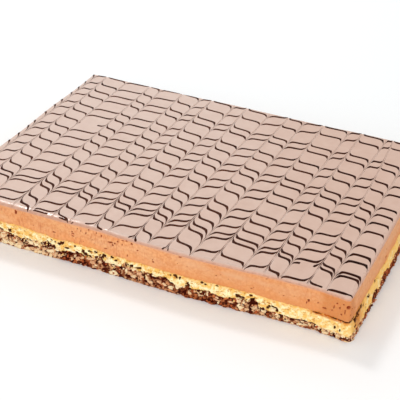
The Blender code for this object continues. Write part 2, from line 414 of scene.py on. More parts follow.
def makeMottleGroup():
    # cloudy change between two colours, with a height that follows the clouds
    group = bpy.data.node_groups.new("mottle", "ShaderNodeTree")
    for name, kind in (("Light", "NodeSocketColor"), ("Dark", "NodeSocketColor"),
                       ("Scale", "NodeSocketFloat"), ("Detail", "NodeSocketFloat"),
                       ("Spread", "NodeSocketFloat")):
        group.interface.new_socket(name, in_out="INPUT", socket_type=kind)
    group.interface.new_socket("Color", in_out="OUTPUT", socket_type="NodeSocketColor")
    group.interface.new_socket("Height", in_out="OUTPUT", socket_type="NodeSocketFloat")
    given = addNode(group, "NodeGroupInput").outputs
    place = addNode(group, "ShaderNodeTexCoord").outputs["Object"]
    cloud = addNode(group, "ShaderNodeTexNoise", {"Vector": place, "Scale": given["Scale"],
                                                  "Detail": given["Detail"], "Roughness": 0.6})
    centred = addMath(group, "SUBTRACT", cloud.outputs["Fac"], 0.5)
    widened = addMath(group, "MULTIPLY", centred, given["Spread"])
    share = addMath(group, "ADD", widened, 0.5, clamp=True)
    addNode(group, "NodeGroupOutput", {"Color": mixBy(group, share, given["Dark"], given["Light"]),
                                       "Height": cloud.outputs["Fac"]})
    return group


mottle = makeMottleGroup()


def startMaterial(name, roughness, **sockets):
    material = bpy.data.materials.new(name)
    material.use_nodes = True
    tree = material.node_tree
    shader = tree.nodes["Principled BSDF"]
    shader.inputs["Roughness"].default_value = roughness
    for key, value in sockets.items():
        shader.inputs[key.replace("_", " ")].default_value = value
    return material, tree, shader


def addMottle(tree, light, dark, scale, detail, spread):
    inputs = {"Light": light, "Dark": dark, "Scale": scale, "Detail": detail, "Spread": spread}
    return addNode(tree, "ShaderNodeGroup", inputs, node_tree=mottle).outputs


glaze = {
    "rounding": 0.0018,                  # radius of the rolled rim
    "leftRounding": 0.0050,              # how much wider the front rim rolls at the left
    "leftWidens": (0.006, 0.066),        # how far left of the middle it starts to, and is that wide
    "backRounding": 0.0010,              # how much rounder the right rim is further back
    "backWidens": (0.050, 0.130),        # how far from the front it starts to, and is that round
    "drop": 0.0021, "flatten": 0.45,     # how far a wide roll goes down, and how much that shortens it
    "lip": 0.0003,                       # how far the rim hangs down below the round
    "tuck": 0.0020,                      # how far it goes in again under the edge
    "rimSteps": 10,
    "gridStep": 0.0045, "edgeReach": 0.014, "edgeClear": 0.0008, "strokeClear": 0.0030,
    "grooveSteps": (-0.0022, -0.0012, -0.0006, -0.0002, 0.0002, 0.0006, 0.0012, 0.0022),
    "grooveDepth": 0.00012, "grooveWidth": 0.0005,
    "ridge": 0.00007, "ridgeAway": 0.0013, "ridgeWidth": 0.0006,
    "sink": 0.0001,                      # keeps the swells below the cake's top
    "swell": 0.00010, "swellX": 0.012, "swellY": 0.015,   # slow waves over the top
    "light": colour(220, 186, 168), "dark": colour(210, 173, 154),
    "clouds": (70.0, 4.0, 1.8),          # scale, detail and spread
    # the rolled rim's colour, darker and oranger than the top: painted shade where the rim turns down,
    # partly the mousse showing through the thin glaze
    "shadedRimLight": colour(211, 163, 139), "shadedRimDark": colour(192, 142, 118),
    "rimClouds": (260.0, 4.0, 3.0),
    "rimShadeShows": (0.0002, 0.0013),        # how far down the rim its darker colour sets in
    "rough": 0.32, "rimRough": (0.14, 0.40), "waveRange": (0.35, 0.65),
    "wave": 110.0, "grain": 900.0, "grainBump": 0.05, "bump": 0.0004,
}

# Combed strokes: X in mm from the left edge, at the back edge, half way and at the front.
# They pull the lines to the front and to the back in turn, and the last two both to the front.
strokes = np.array([
    (5, 6, 7), (17.5, 22, 23), (44.5, 45, 45.5), (73, 74, 72.5), (88.5, 92, 92),
    (114, 116.5, 115), (138.5, 135, 133.5), (150.5, 150, 158.5), (178.5, 176.5, 172),
    (192.5, 194.5, 197.5), (221, 217, 212.5), (242, 235.5, 230), (261, 259, 254),
    (282, 280, 274), (312, 307, 302.5), (325, 322, 321), (353, 345, 335.5),
    (359, 363.5, 359), (384, 380, 376.5), (401, 400.8, 400.6),
]) * mm
strokeCount = len(strokes)
strokeMiddles = strokes[:, 1] - halfX
strokeSigns = np.where(np.arange(strokeCount) % 2 == 0, -1.0, 1.0)
strokeSigns[-1] = -1.0


def parabola(start, middle, end, share):
    bend = start - 2 * middle + end
    return start + share * (4 * middle - 3 * start - end) + 2 * bend * share * share


def strokeX(index, y):
    # X of a stroke at a depth y, both from the cake's middle
    back, middle, front = strokes[index]
    return parabola(front, middle, back, y / cake["depth"] + 0.5) - halfX


def followStrokes(u, y):
    # X of a place that lies at u half way back; between the strokes it drifts as they do
    knots = np.concatenate([[-halfX - 0.01], strokeMiddles, [halfX + 0.01]])
    cell = np.clip(np.searchsorted(knots, u) - 1, 0, len(knots) - 2)
    drift = np.zeros((len(knots), len(u)))
    for index in range(strokeCount):
        drift[index + 1] = strokeX(index, y) - strokeMiddles[index]
    share = (u - knots[cell]) / (knots[cell + 1] - knots[cell])
    column = np.arange(len(u))
    left, right = drift[cell, column], drift[cell + 1, column]
    return u + left + (right - left) * share


def glazeHeight(x, y):
    # slow swells over the top, and a faint groove with raised sides where each stroke ran
    swell = glaze["swell"] * np.sin(x / glaze["swellX"] + 1) * np.cos(y / glaze["swellY"])
    away = np.abs([x - strokeX(index, y) for index in range(strokeCount)]).min(0)
    groove = glaze["grooveDepth"] * np.exp(-(away / glaze["grooveWidth"]) ** 2)
    ridge = glaze["ridge"] * np.exp(-((away - glaze["ridgeAway"]) / glaze["ridgeWidth"]) ** 2)
    return cake["top"] - glaze["sink"] + swell - groove + ridge


def flatLimits(x, y):
    # the box of the flat top at a place, inside the rolled rim, and the rim's radius there
    x, y = np.clip(x, -halfX, halfX), np.clip(y, -halfY, halfY)
    frontRadius = glaze["rounding"] + glaze["leftRounding"] * ramp(-x, *glaze["leftWidens"])
    rightRadius = glaze["rounding"] + glaze["backRounding"] * ramp(y + halfY, *glaze["backWidens"])
    left = -halfX - otherWave(-halfX, y) + glaze["rounding"]
    right = halfX + rightEdge(y) - rightRadius
    front = -halfY - frontEdge(x) + frontRadius
    back = halfY + otherWave(x, halfY) - glaze["rounding"]
    return left, right, front, back, frontRadius, rightRadius


def rimRadius(outX, outY, frontRadius, rightRadius):
    # the rim's radius in a direction, blended round the corners
    side = np.where(outX > 0, rightRadius, glaze["rounding"])
    depth = np.where(outY < 0, frontRadius, glaze["rounding"])
    return side * outX ** 2 + depth * outY ** 2


def rimFoot():
    return cake["top"] - cake["glazeThickness"] - glaze["lip"]


def onGlaze(x, y, lift):
    # wraps places on the flat top over the rolled rim
    left, right, front, back, frontRadius, rightRadius = flatLimits(x, y)
    clampX, clampY = np.clip(x, left, right), np.clip(y, front, back)
    overX, overY = x - clampX, y - clampY
    over = np.hypot(overX, overY)
    safe = np.maximum(over, 1e-9)
    outX, outY = overX / safe, overY / safe
    radius = np.where(over > 0, rimRadius(outX, outY, frontRadius, rightRadius), glaze["rounding"])
    drop = np.minimum(radius, glaze["drop"])
    arc = radius * (math.pi / 2 - glaze["flatten"] * (1 - drop / radius))
    turn = np.clip(over / arc, 0, 1) * math.pi / 2
    past = np.clip(over - arc, 0, None)
    reach = (radius + lift) * np.sin(turn)
    height = np.maximum(glazeHeight(clampX, clampY) - drop * (1 - np.cos(turn)) - past, rimFoot())
    return np.stack([clampX + outX * reach, clampY + outY * reach, height + lift * np.cos(turn)], -1)


def glazeGrid():
    # the flat top: fine columns beside each stroke, which drift as the strokes do
    columns = set(np.round(np.arange(-halfX, halfX, glaze["gridStep"]), 5))
    for middle in strokeMiddles[:-1]:
        columns = {u for u in columns if abs(u - middle) > glaze["strokeClear"]}
        columns |= {middle + step for step in glaze["grooveSteps"]}
    u = sorted(c for c in columns if abs(c) < halfX - glaze["edgeClear"])
    u = np.concatenate([[-halfX], u, [halfX]])
    v = np.linspace(-halfY, halfY, int(2 * halfY / glaze["gridStep"]))
    x, y = [grid.ravel() for grid in np.meshgrid(u, v, indexing="ij")]
    reach = glaze["edgeReach"]
    x = x + (followStrokes(x, y) - x) * ramp(halfX - np.abs(x), 0, reach)
    left, right, front, back, _, _ = flatLimits(x, y)
    x = (x + (right - halfX) * ramp(halfX - x, reach, 0)
         + (left + halfX) * ramp(x + halfX, reach, 0))
    y = (y + (back - halfY) * ramp(halfY - y, reach, 0)
         + (front + halfY) * ramp(y + halfY, reach, 0))
    return np.stack([x, y, glazeHeight(x, y)], -1), len(u), len(v)


def gridBorder(columns, rows):
    # numbers of the grid's outermost points in order, and the directions outward there
    border = np.array([i * rows for i in range(columns)]
                      + [(columns - 1) * rows + j for j in range(1, rows)]
                      + [i * rows + rows - 1 for i in range(columns - 2, -1, -1)]
                      + list(range(rows - 2, 0, -1)))
    column, row = border // rows, border % rows
    outX = (column == columns - 1) * 1.0 - (column == 0) * 1.0
    outY = (row == rows - 1) * 1.0 - (row == 0) * 1.0
    length = np.hypot(outX, outY)
    return border, outX / length, outY / length


def rimRings(edge, outX, outY):
    # rings of points down the rolled rim, the lip and in again under it
    _, _, _, _, frontRadius, rightRadius = flatLimits(edge[:, 0], edge[:, 1])
    radius = rimRadius(outX, outY, frontRadius, rightRadius)
    rings = []
    for turn in np.linspace(0, math.pi / 2, glaze["rimSteps"])[1:]:
        ring = edge + np.stack([outX, outY, 0 * outX], 1) * radius[:, None] * math.sin(turn)
        fallen = np.minimum(radius, glaze["drop"]) * (1 - math.cos(turn))
        ring[:, 2] = np.maximum(ring[:, 2] - fallen, rimFoot() + glaze["sink"])
        rings.append(ring)
    lip = rings[-1].copy()
    lip[:, 2] = rimFoot()
    return rings + [lip, lip - np.stack([outX, outY, 0 * outX], 1) * glaze["tuck"]]


def glazeMaterial():
    material, tree, shader = startMaterial("milkGlaze", glaze["rough"], Specular_IOR_Level=0.4)
    cloud = addMottle(tree, glaze["light"], glaze["dark"], *glaze["clouds"])
    edge = addMottle(tree, glaze["shadedRimLight"], glaze["shadedRimDark"], *glaze["rimClouds"])
    # the rim takes its darker colour: painted shade, partly the mousse showing through
    blend = mixBy(tree, maskRamp(tree, "fallen", 0.0, 1.0), cloud["Color"], edge["Color"])
    feed(tree, shader.inputs["Base Color"], blend)
    wave, grain = addNoise(tree, glaze["wave"], 2.0), addNoise(tree, glaze["grain"], 2.0)
    onRim = maskRamp(tree, "polish", 0.0, 1.0)
    shine = addRange(tree, wave, *glaze["waveRange"], *glaze["rimRough"])
    rough = addNode(tree, "ShaderNodeMix", {"Factor": onRim, "A": glaze["rough"], "B": shine})
    feed(tree, shader.inputs["Roughness"], rough.outputs["Result"])
    rimRelief = addMath(tree, "MULTIPLY", wave, onRim)
    relief = addMath(tree, "MULTIPLY_ADD", grain, glaze["grainBump"], rimRelief)
    addBump(tree, shader, relief, glaze["bump"])
    return material


def makeGlaze():
    points, columns, rows = glazeGrid()
    faces = stripFaces(columns, rows, closed=False)
    border, outX, outY = gridBorder(columns, rows)
    count, last = len(border), border
    for ring in rimRings(points[border], outX, outY):
        fresh = np.arange(len(points), len(points) + count)
        points = np.concatenate([points, ring])
        faces += np.stack([last, fresh, np.roll(fresh, -1), np.roll(last, -1)], 1).tolist()
        last = fresh
    middle = np.full(count, len(points))
    points = np.concatenate([points, [[0, 0, rimFoot()]]])
    faces += np.stack([middle, np.roll(last, -1), last], 1).tolist()
    fallen = ramp(cake["top"] - points[:, 2], *glaze["rimShadeShows"])
    polish = np.zeros(len(points))
    polish[border], polish[columns * rows:] = 1, 1
    piece = makePiece("glaze", points, faces, glazeMaterial(),
                      masks={"fallen": fallen, "polish": polish})
    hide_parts("glaze_top")


feather = {
    "width": 0.0036, "crest": 0.00034, "sunk": 0.00012,
    "section": (-0.5, -0.36, 0.0, 0.36, 0.5), "arch": (0.0, 0.75, 1.0, 0.75, 0.0),
    "tooth": 0.0006,                           # half the width of the comb's tooth
    "slope": 0.0005, "slopeDecay": 0.0060,     # the slow pull half way between strokes
    "tip": 0.0010, "tipDecay": 0.00020,        # the thin point next to the tooth
    "sharper": 0.20, "sharpens": (0.075, 0.225),    # how much sharper the hooks are at the back
    "bow": 0.0012, "bowFrom": (0.060, 0.150),  # how far the lines waver over the back half
    "bowTurns": 1.55, "bowPhase": -0.05,       # that waver's waves along X, and where they start
    "bowFades": 0.4, "bowLeft": 0.5,           # less to the right, and a shift at the left
    "wander": 0.0005, "uneven": 0.22,          # small chance shifts, and chance width
    "wanderWaves": 40, "unevenWaves": 55,      # how many of them to a metre
    "unlike": 0.10,                            # how unlike each other the hooks are
    "leftShare": 0.82, "rightShare": 0.20,     # the width at the left, and more to the right
    "steepest": 1.6,                           # how much wider a steep stretch may be laid
    "toothShare": (0.36, 0.16), "toothDepth": (0.040, 0.090),   # width next to the comb's tooth
    "widens": 0.0021,                          # full width this far from the tooth
    "taper": 0.0012, "thinEase": 0.002,        # how fast a line ends at a break, or thins
    "thinnest": 0.00005, "edgeRoom": 0.0004,   # what is thinner, or nearer the rim's foot, is left out
    "rimReach": 1.15, "backReach": 0.8,        # how far over the front and back rims, in radii
    "crestFall": 2.2, "crestLeast": 0.3,       # the crest is lower where a line runs steeply
    "past": 0.0009,                            # how far lines go on past the flat top's sides
    "step": 0.0030, "clear": 0.0068,           # points this far apart, and away from each stroke
    "near": (0.0006, 0.00068, 0.0008, 0.00095, 0.00115, 0.0014, 0.0017, 0.0021, 0.0026,
             0.0032, 0.0040, 0.0050, 0.0063),
    "light": colour(64, 27, 13), "dark": colour(32, 9, 3),            # at the right
    "thinLight": colour(92, 50, 32), "thinDark": colour(52, 20, 10),  # over the left half
    "rightFrom": (0.55, 1.0),                  # where the one colour passes into the other
    "clouds": (60.0, 2.0, 2.0), "rough": 0.45,
}
# Piped lines: Y in mm from the front edge, at X 60, 215 and 370 mm
lines = np.array([
    (297.5, 295.5, 296), (276, 274, 280), (257, 248, 244.5), (242, 235, 231), (219.5, 210, 204),
    (203.5, 193, 186.5), (184, 172, 159.5), (164.5, 158, 146), (147.5, 137, 129),
    (129.5, 121, 112), (109, 96.5, 86.5), (91, 81, 70), (70, 62, 57), (55.5, 49.5, 38.5),
    (47, 40, 32), (26, 17, 7.5), (11.5, -1.5, -25), (6.8, 1, -6),
]) * mm
lineLeft, lineRight = 0.060, 0.370
# Breaks in the lines: number from the back, X in mm where it stops and goes on
breaks = {6: [(47, 64)], 14: [(345, 355)], 15: [(373, 376.5)],
          16: [(91, 94.5), (137, 147), (167, 192), (202.5, 226), (234, 270.5), (274, 420)],
          17: [(-10, 94), (110, 121), (130, 420)]}
# Thin stretches: where one starts and ends, and its share of the width
thinSpots = {
    5: [(128, 133, 0.5)], 12: [(96, 101, 0.5)], 14: [(203, 211, 0.5)],
    15: [(366, 381, 0.75), (393, 402, 0.6)],
    16: [(92, 113, 0.8), (117, 134, 0.6), (145, 156, 0.65), (158, 168, 0.75)],
    17: [(90, 112, 0.65), (118, 135, 0.75)],
}
weakHooks = {(15, 18): 0.25, (15, 19): 0.1}    # line and stroke
lastLineHooks = 0.25
# How far each stroke drags the lines, left and then right of it: mm at the tooth near the front
# and near the back, and mm in which that dies away.
hooks = np.array([
    (14, 11, 2.0, 13, 10, 1.3), (7.5, 6, 1.5, 10, 8, 1.9), (13, 6, 1.5, 6, 4.5, 2.6),
    (9, 2, 1.7, 11, 7, 1.6), (12, 8, 2.2, 7, 5.5, 1.8), (7, 2, 2.0, 8, 9, 1.6),
    (10, 8, 1.9, 6.5, 7, 1.8), (8, 4, 1.5, 11.5, 12, 1.5), (10, 12, 1.9, 9, 6, 1.8),
    (6, 6, 2.0, 9, 11, 1.6), (13, 6.5, 2.6, 7.5, 6.5, 2.5), (6, 4.5, 2.6, 10.5, 4.5, 1.9),
    (15.5, 7.5, 2.6, 8.5, 7, 1.9), (7, 7, 2.2, 8.5, 8, 1.4), (7, 11, 1.5, 10, 8.5, 1.4),
    (5.5, 6, 1.8, 7.5, 7, 1.5), (11, 11, 2.0, 3.5, 7, 1.6), (9, 7, 1.6, 3, 2, 1.5),
    (10.5, 10.5, 1.7, 9, 9, 1.5), (9, 1, 1.3, 9, 1, 1.3),
]) * mm


def lineShare(x):
    return (x + halfX - lineLeft) / (lineRight - lineLeft)


def restAt(line, share):
    # where a piped line lay before the combing: a slow curve that wavers less to the right
    rest = parabola(*line, share)
    turns = feather["bowTurns"] * share + feather["bowPhase"]
    wave = ((1 - feather["bowFades"] * share) * np.sin(math.tau * turns)
            + feather["bowLeft"] * (1 - share))
    return rest + feather["bow"] * wave * ramp(rest, *feather["bowFrom"]) - halfY


def hookAt(index, rest):
    # a stroke's reach and decay on its left and on its right, at a depth
    back = ramp(rest + halfY, *feather["sharpens"])
    leftFront, leftBack, leftDecay, rightFront, rightBack, rightDecay = hooks[index]
    sharper = 1 - feather["sharper"] * back
    return (between((leftFront, leftBack), back), leftDecay * sharper,
            between((rightFront, rightBack), back), rightDecay * sharper)


def pull(u, rest, number):
    # how far the strokes drag a line that rests at a depth, with u measured half way back
    total = np.zeros_like(u)
    for index in range(strokeCount):
        away = u - strokeMiddles[index]
        beside = np.maximum(np.abs(away) - feather["tooth"], 0)
        strength = 1.0 + feather["unlike"] * math.sin(index * 5.3 + number * 1.9)
        strength *= weakHooks.get((number, index), lastLineHooks if number == len(lines) - 1 else 1)
        left, leftDecay, right, rightDecay = hookAt(index, rest)
        reach, decay = np.where(away < 0, left, right), np.where(away < 0, leftDecay, rightDecay)
        drag = (reach * np.exp(-beside / decay)
                + feather["slope"] * np.exp(-beside / feather["slopeDecay"])
                + feather["tip"] * np.exp(-beside / feather["tipDecay"]))
        total += strokeSigns[index] * strength * drag
    return total


def lineSamples():
    # places along X, close together beside each stroke and none under its tooth
    spots = list(np.arange(-halfX, halfX + 0.0005, feather["step"]))
    for middle in strokeMiddles:
        spots = [s for s in spots if abs(s - middle) > feather["clear"]]
        for step in feather["near"]:
            spots += [middle - step, middle + step]
    return np.unique(np.round([s for s in spots if abs(s) < halfX + feather["past"]], 6))


def lineWidth(number, samples, x, y, steepness):
    # thin next to the teeth, wider where it runs steeply, and less at the listed places
    share = lineShare(samples)
    chance = np.array([noise.noise((s * feather["unevenWaves"], number * 5.7, 4)) for s in samples])
    away = np.abs(samples[:, None] - strokeMiddles).min(1) - feather["tooth"]
    atTooth = between(feather["toothShare"], ramp(y + halfY, *feather["toothDepth"]))
    width = (feather["width"] * (1 + feather["uneven"] * chance)
             * np.minimum(steepness, feather["steepest"])
             * (feather["leftShare"] + feather["rightShare"] * share)
             * (atTooth + (1 - atTooth) * ramp(away, 0, feather["widens"])))
    along = x + halfX
    for start, end, thinner in thinSpots.get(number, []):
        inside = np.minimum(along - start * mm, end * mm - along)
        width = width * (1 - (1 - thinner) * ramp(inside, 0, feather["thinEase"]))
    for stop, goOn in breaks.get(number, []):
        outside = np.maximum(stop * mm - along, along - goOn * mm)
        width = width * np.sqrt(ramp(outside, 0, feather["taper"]))
    return width


def unbroken(kept, cell):
    # the stretches of kept points between one stroke and the next
    cuts = np.flatnonzero((np.diff(cell) != 0) | np.diff(kept)) + 1
    runs = np.split(np.arange(len(kept)), cuts)
    return [run for run in runs if kept[run[0]] and len(run) > 3]


def joinedRibbons(ribbons):
    # strips of points in rows, each closed underneath and at its ends, as one mesh
    faces, first = [], 0
    for ribbon in ribbons:
        count, size = ribbon.shape[:2]
        loose = stripFaces(count, size, closed=False)
        for s in range(count - 1):
            loose.append([s * size, s * size + size - 1, (s + 1) * size + size - 1, (s + 1) * size])
        loose.append(list(range(size)))
        loose.append([(count - 1) * size + i for i in reversed(range(size))])
        faces += [[i + first for i in face] for face in loose]
        first += count * size
    return np.concatenate([ribbon.reshape(-1, 3) for ribbon in ribbons]), faces


def linesMaterial():
    material, tree, shader = startMaterial("darkLines", feather["rough"], Specular_IOR_Level=0.03)
    thick = addMottle(tree, feather["light"], feather["dark"], *feather["clouds"])
    thin = addMottle(tree, feather["thinLight"], feather["thinDark"], *feather["clouds"])
    toRight = maskRamp(tree, "across", *feather["rightFrom"])
    blend = mixBy(tree, toRight, thin["Color"], thick["Color"])
    feed(tree, shader.inputs["Base Color"], blend)
    return material


def makeLines():
    section, arch = np.array(feather["section"]), np.array(feather["arch"])
    samples = lineSamples()
    cell = np.searchsorted(strokeMiddles, samples)
    ribbons = []
    for number, line in enumerate(lines):
        rest = restAt(line, lineShare(samples))
        wander = np.array([noise.noise((s * feather["wanderWaves"], number * 3.1, 0)) for s in samples])
        y = rest + pull(samples, rest, number) + wander * feather["wander"]
        x = followStrokes(samples, y)
        steepness = np.sqrt(1 + np.gradient(y, x) ** 2)
        width = lineWidth(number, samples, x, y, steepness)
        crest = (feather["crest"] * ramp(width, 0, feather["taper"])
                 * np.clip(feather["crestFall"] / steepness, feather["crestLeast"], 1.0))
        _, _, front, back, radius, _ = flatLimits(x, y)
        edge = front - radius * feather["rimReach"]
        far = back + glaze["rounding"] * feather["backReach"]
        kept = (width > feather["thinnest"]) & (y + width / 2 > edge + feather["edgeRoom"])
        for run in unbroken(kept, cell):
            sectionY = y[run, None] + width[run, None] * section
            sectionY = np.clip(sectionY, edge[run, None], far[run, None])
            sectionX = np.repeat(x[run, None], len(section), 1)
            lift = crest[run, None] * arch - feather["sunk"] * (arch == 0)
            ribbons.append(onGlaze(sectionX, sectionY, lift))
    points, faces = joinedRibbons(ribbons)
    across = (points[:, 0] + halfX) / cake["length"]
    makePiece("feather_lines", points, faces, linesMaterial(), masks={"across": across})


threads = {
    "step": 0.0016, "crest": 0.00014, "base": 0.00001,
    "front": 0.0010, "back": 0.0030,           # where they start and end, in from the edges
    "share": 0.88, "least": 0.03,              # of the widths below, and the least, in mm
    "hookShare": 0.8,                          # how far a hook's tip is dragged, of its reach
    "beside": 0.95,                            # how far off the stroke, in half tooth widths
    "wobble": 0.00028, "wobbleWaves": 90,      # how far they waver, and how often in a metre
    # mm past a hook's tip, and how many mm wide each thread is there: near the front edge,
    # half way and at the back, for the pulls to the back and to the front
    "toBack": (((-7, 0.25), (-5, 0.40), (-2, 0.57), (0, 0.56), (3, 0.78), (5, 0.74), (10, 0.29),
                (14, 0.06)),
               ((-7, 0.10), (-5, 0.13), (0, 0.27), (3.5, 0.41), (10, 0.05)),
               ((-7, 0.10), (-5, 0.16), (0, 0.24), (3.5, 0.30), (10, 0.06))),
    "toFront": (((-7, 0.10), (-5, 0.25), (-3, 0.42), (0, 0.31), (3, 0.27), (8, 0.05)),
                ((-7, 0.10), (-4, 0.38), (-1, 0.30), (2, 0.15), (6, 0.05)),
                ((-7, 0.10), (-4, 0.22), (-1, 0.20), (2, 0.12), (6, 0.05))),
    "nearFront": (50, 90), "nearBack": (200, 240),   # mm from the front where these lists blend
    "light": colour(104, 58, 40), "dark": colour(60, 27, 15), "clouds": (70.0, 2.0, 2.5),
    "rough": 0.45,
}


def threadWidth(index, y):
    # the width of a stroke's threads at each depth, from how far it is past the nearest hooks
    sign = strokeSigns[index]
    tips = np.array([restAt(line, lineShare(strokeMiddles[index])) for line in lines[:-1]])
    left, _, right, _ = hookAt(index, tips)
    tips = tips + sign * threads["hookShare"] * (left + right) / 2
    past = (y[:, None] - tips) * sign / mm
    depth = (y + halfY) / mm
    front, back = 1 - ramp(depth, *threads["nearFront"]), ramp(depth, *threads["nearBack"])
    least, width = threads["least"], 0
    widths = threads["toBack"] if sign > 0 else threads["toFront"]
    for share, points in zip((front, 1 - front - back, back), widths):
        width = width + share * np.interp(past, *np.transpose(points), left=least, right=least).max(1)
    return width * mm * threads["share"]


def makeThreads():
    # two fine streaks beside each stroke, widest just past each line
    ribbons = []
    for index in range(strokeCount - 1):
        nearX = strokes[index, 2] - halfX
        start = -halfY - frontEdge(np.array([nearX]))[0] + threads["front"]
        y = np.arange(start, halfY - threads["back"], threads["step"])
        width = threadWidth(index, y)
        for side in (-1, 1):
            wobble = np.array([noise.noise((index * 9.1 + side, spot * threads["wobbleWaves"], 0))
                               for spot in y])
            x = (strokeX(index, y) + side * feather["tooth"] * threads["beside"]
                 + wobble * threads["wobble"])
            sectionX = x[:, None] + width[:, None] * np.array([-0.5, 0.0, 0.5])
            sectionY = np.repeat(y[:, None], 3, 1)
            lift = np.tile([threads["base"], threads["crest"], threads["base"]], (len(y), 1))
            ribbons.append(onGlaze(sectionX, sectionY, lift))
    points, faces = joinedRibbons(ribbons)
    material, tree, shader = startMaterial("threadStreaks", threads["rough"], Specular_IOR_Level=0.1)
    cloud = addMottle(tree, threads["light"], threads["dark"], *threads["clouds"])
    feed(tree, shader.inputs["Base Color"], cloud["Color"])
    makePiece("stroke_threads", points, faces, material)


# Heights of the sponge's floor and ceiling in mm, along the front from the left end and
# along the right side from the front.
frontFloor = (
    (54, 14), (60, 14.5), (70, 13.5), (75, 12.5), (82, 11.8), (90, 12.8), (103, 12.2), (106, 15.7),
    (118, 14.8), (120, 9.8), (127, 9.2), (131, 11.5), (140, 13), (147, 12), (152, 11), (158, 13),
    (166, 16), (170, 11.2), (180, 10.8), (186, 12), (190, 16.2), (197, 14.5), (203, 12.7),
    (210, 13.3), (216, 13.9), (222, 12), (228, 14.5), (234, 13.1), (238, 10.6), (245, 7.5),
    (250, 10.1), (254, 12), (258, 10.5), (265, 11.3), (272, 12.6), (277, 11.4), (285, 9.7),
    (292, 10), (297, 12.2), (303, 13.9), (309, 12.6), (316, 15.7), (320, 9), (327, 7.6),
    (340, 7.2), (352, 6.4), (362, 7.1), (368, 7.4), (376, 5.2), (385, 5.4), (392, 6.2), (400, 6.0),
)
rightFloor = (
    (0, 5.0), (12, 6.5), (25, 5), (35, 4), (45, 5), (58, 3.8), (64, 8), (70, 9.3), (76, 9),
    (81, 5), (86, 4.5), (92, 8), (97, 9), (106, 10.3), (112, 8.5), (118, 6), (128, 7),
    (135, 9), (143, 8.5), (160, 8), (170, 8),
)
frontCeiling = (
    (54, 23.1), (66, 23.4), (76, 24.4), (84, 24.4), (92, 23.9), (100, 22.6), (108, 23), (116, 21.4),
    (124, 21.2), (132, 22.8), (140, 22), (150, 21.4), (158, 22), (166, 21.1), (174, 20.4),
    (182, 21.2), (190, 21.4), (200, 21.1), (210, 21.6), (225, 21.5), (240, 21.2), (255, 21),
    (268, 21.7), (280, 21.7), (295, 21.6), (305, 21.1), (312, 21.6), (322, 20.5), (335, 19.9),
    (350, 19.8), (362, 19.8), (372, 20.3), (385, 20.5), (392, 20.3), (400, 20.6),
)
rightCeiling = (
    (0, 20.2), (10, 20.6), (40, 20.1), (60, 20.6), (90, 20.4), (100, 18.8), (107, 18.3),
    (116, 19.2), (124, 20.9), (132, 20.2), (140, 19), (150, 21), (170, 20.4),
)
# Elsewhere they run from a height at the left end to one at the right end and wander, and
# they are ragged all along.
floorRule = {"ends": (0.0142, 0.0070), "wander": 0.0034, "wanderSize": 0.012,
             "ragged": 0.0006, "raggedSize": 0.0022, "octaves": 2, "seed": 8}
ceilingRule = {"ends": (0.0226, 0.0200), "wander": 0.0011, "wanderSize": 0.018,
               "ragged": 0.0007, "raggedSize": 0.0026, "octaves": 3, "seed": 12}


def meetingLine(place, rule, frontPoints, rightPoints):
    spots = onFloor(place)
    wandering = (between(rule["ends"], place[:, 0] / cake["length"] + 0.5)
                 + lumps(spots, rule["wanderSize"], 3, seed=rule["seed"]) * rule["wander"])
    ragged = lumps(spots, rule["raggedSize"], rule["octaves"], seed=rule["seed"] + 1) * rule["ragged"]
    return bySide(place, frontPoints, rightPoints, wandering) + ragged


def spongeFloor(place):
    return meetingLine(place, floorRule, frontFloor, rightFloor)


def spongeCeiling(place):
    return meetingLine(place, ceilingRule, frontCeiling, rightCeiling)


# Places on the cut sides are in metres along X and Y from the front left corner
mousse = {
    "step": 0.0007, "rows": 36,
    "belly": 0.0003, "bellySize": 0.030, "smear": 0.00018, "smearSize": 0.010,
    "marks": 0.00019, "marksSize": 0.0016,           # fine upright knife marks
    "patches": (0.45, 2.05), "patchSize": 0.012,     # in patches, and more at the front's left
    "marked": 0.30, "markedLeft": 0.7, "leftUntil": (0.205, 0.184),
    "rough": 0.00045, "roughSize": 0.0022,           # the torn corner, right of the front
    "roughX": (0.366, 0.378), "roughY": (0.020, 0.010),
    # painted shade in the brown colour: towards the right end of the front, weaker on the right side,
    # and at the upper left of the front; the torn corner's reddish brown is darkened with the same
    # painted shade
    "shadeRightX": (0.200, 0.280), "shadeRightShare": (0.40, 0.22), "shadeRightTurn": (0.008, 0.018),
    "shadeX": (0.155, 0.125), "shadeHeight": (0.027, 0.032), "shaded": 0.2,
    "palest": 0.300, "paleX": (0.065, 0.015),        # a paler band round this place on the front
    "paleHeight": 0.0345, "paleSpread": 0.0030, "paleBand": 0.8,
    "warmHeight": (0.0295, 0.0225), "warmLow": 0.55,
    "wander": 0.5, "wanderSize": 0.018,              # pale and warm clouds everywhere
    "underGlaze": (0.94, 1.0), "underGlazeDepth": 0.0002,
    "frontFace": (0.008, 0.004),               # what is nearer the front counts as the front side
    "intoGlaze": 0.0002, "overSponge": 0.00005,      # how far its faces reach, or keep away
    "pits": 330, "pitRadius": (0.0003, 0.0010), "pitFloor": 0.0008, "pitRange": 0.0184,
    "pitRagged": 0.0016, "seed": 11,
    # how small the smallest pits are, how rare large ones, and how many stay: on the listed
    # sides and elsewhere
    "pitsListed": (0.8, 9, 0.7), "pitsElsewhere": (1.0, 3, 1.6),
    "light": colour(236, 175, 122), "dark": colour(220, 146, 94), "warm": colour(232, 150, 86),
    # pit is painted shade inside the pits
    "pale": colour(232, 184, 144), "pitShade": colour(150, 62, 20), "brownShade": colour(206, 130, 70),
    "scored": colour(198, 118, 72), "top": colour(216, 160, 130),
    "clouds": (400.0, 7.0, 4.2), "score": 620.0, "scoreStretch": (1.0, 1.0, 0.24),
    "grain": 1100.0, "bump": 0.00012, "roughness": 0.6,
    "brownShadeShows": (0.0, 1.2), "scoreShows": (0.50, 0.70, 0.0, 0.85),     # where each mask sets in
    "topShows": (0.90, 1.0), "pitShadeShows": (0.10, 0.6),
}
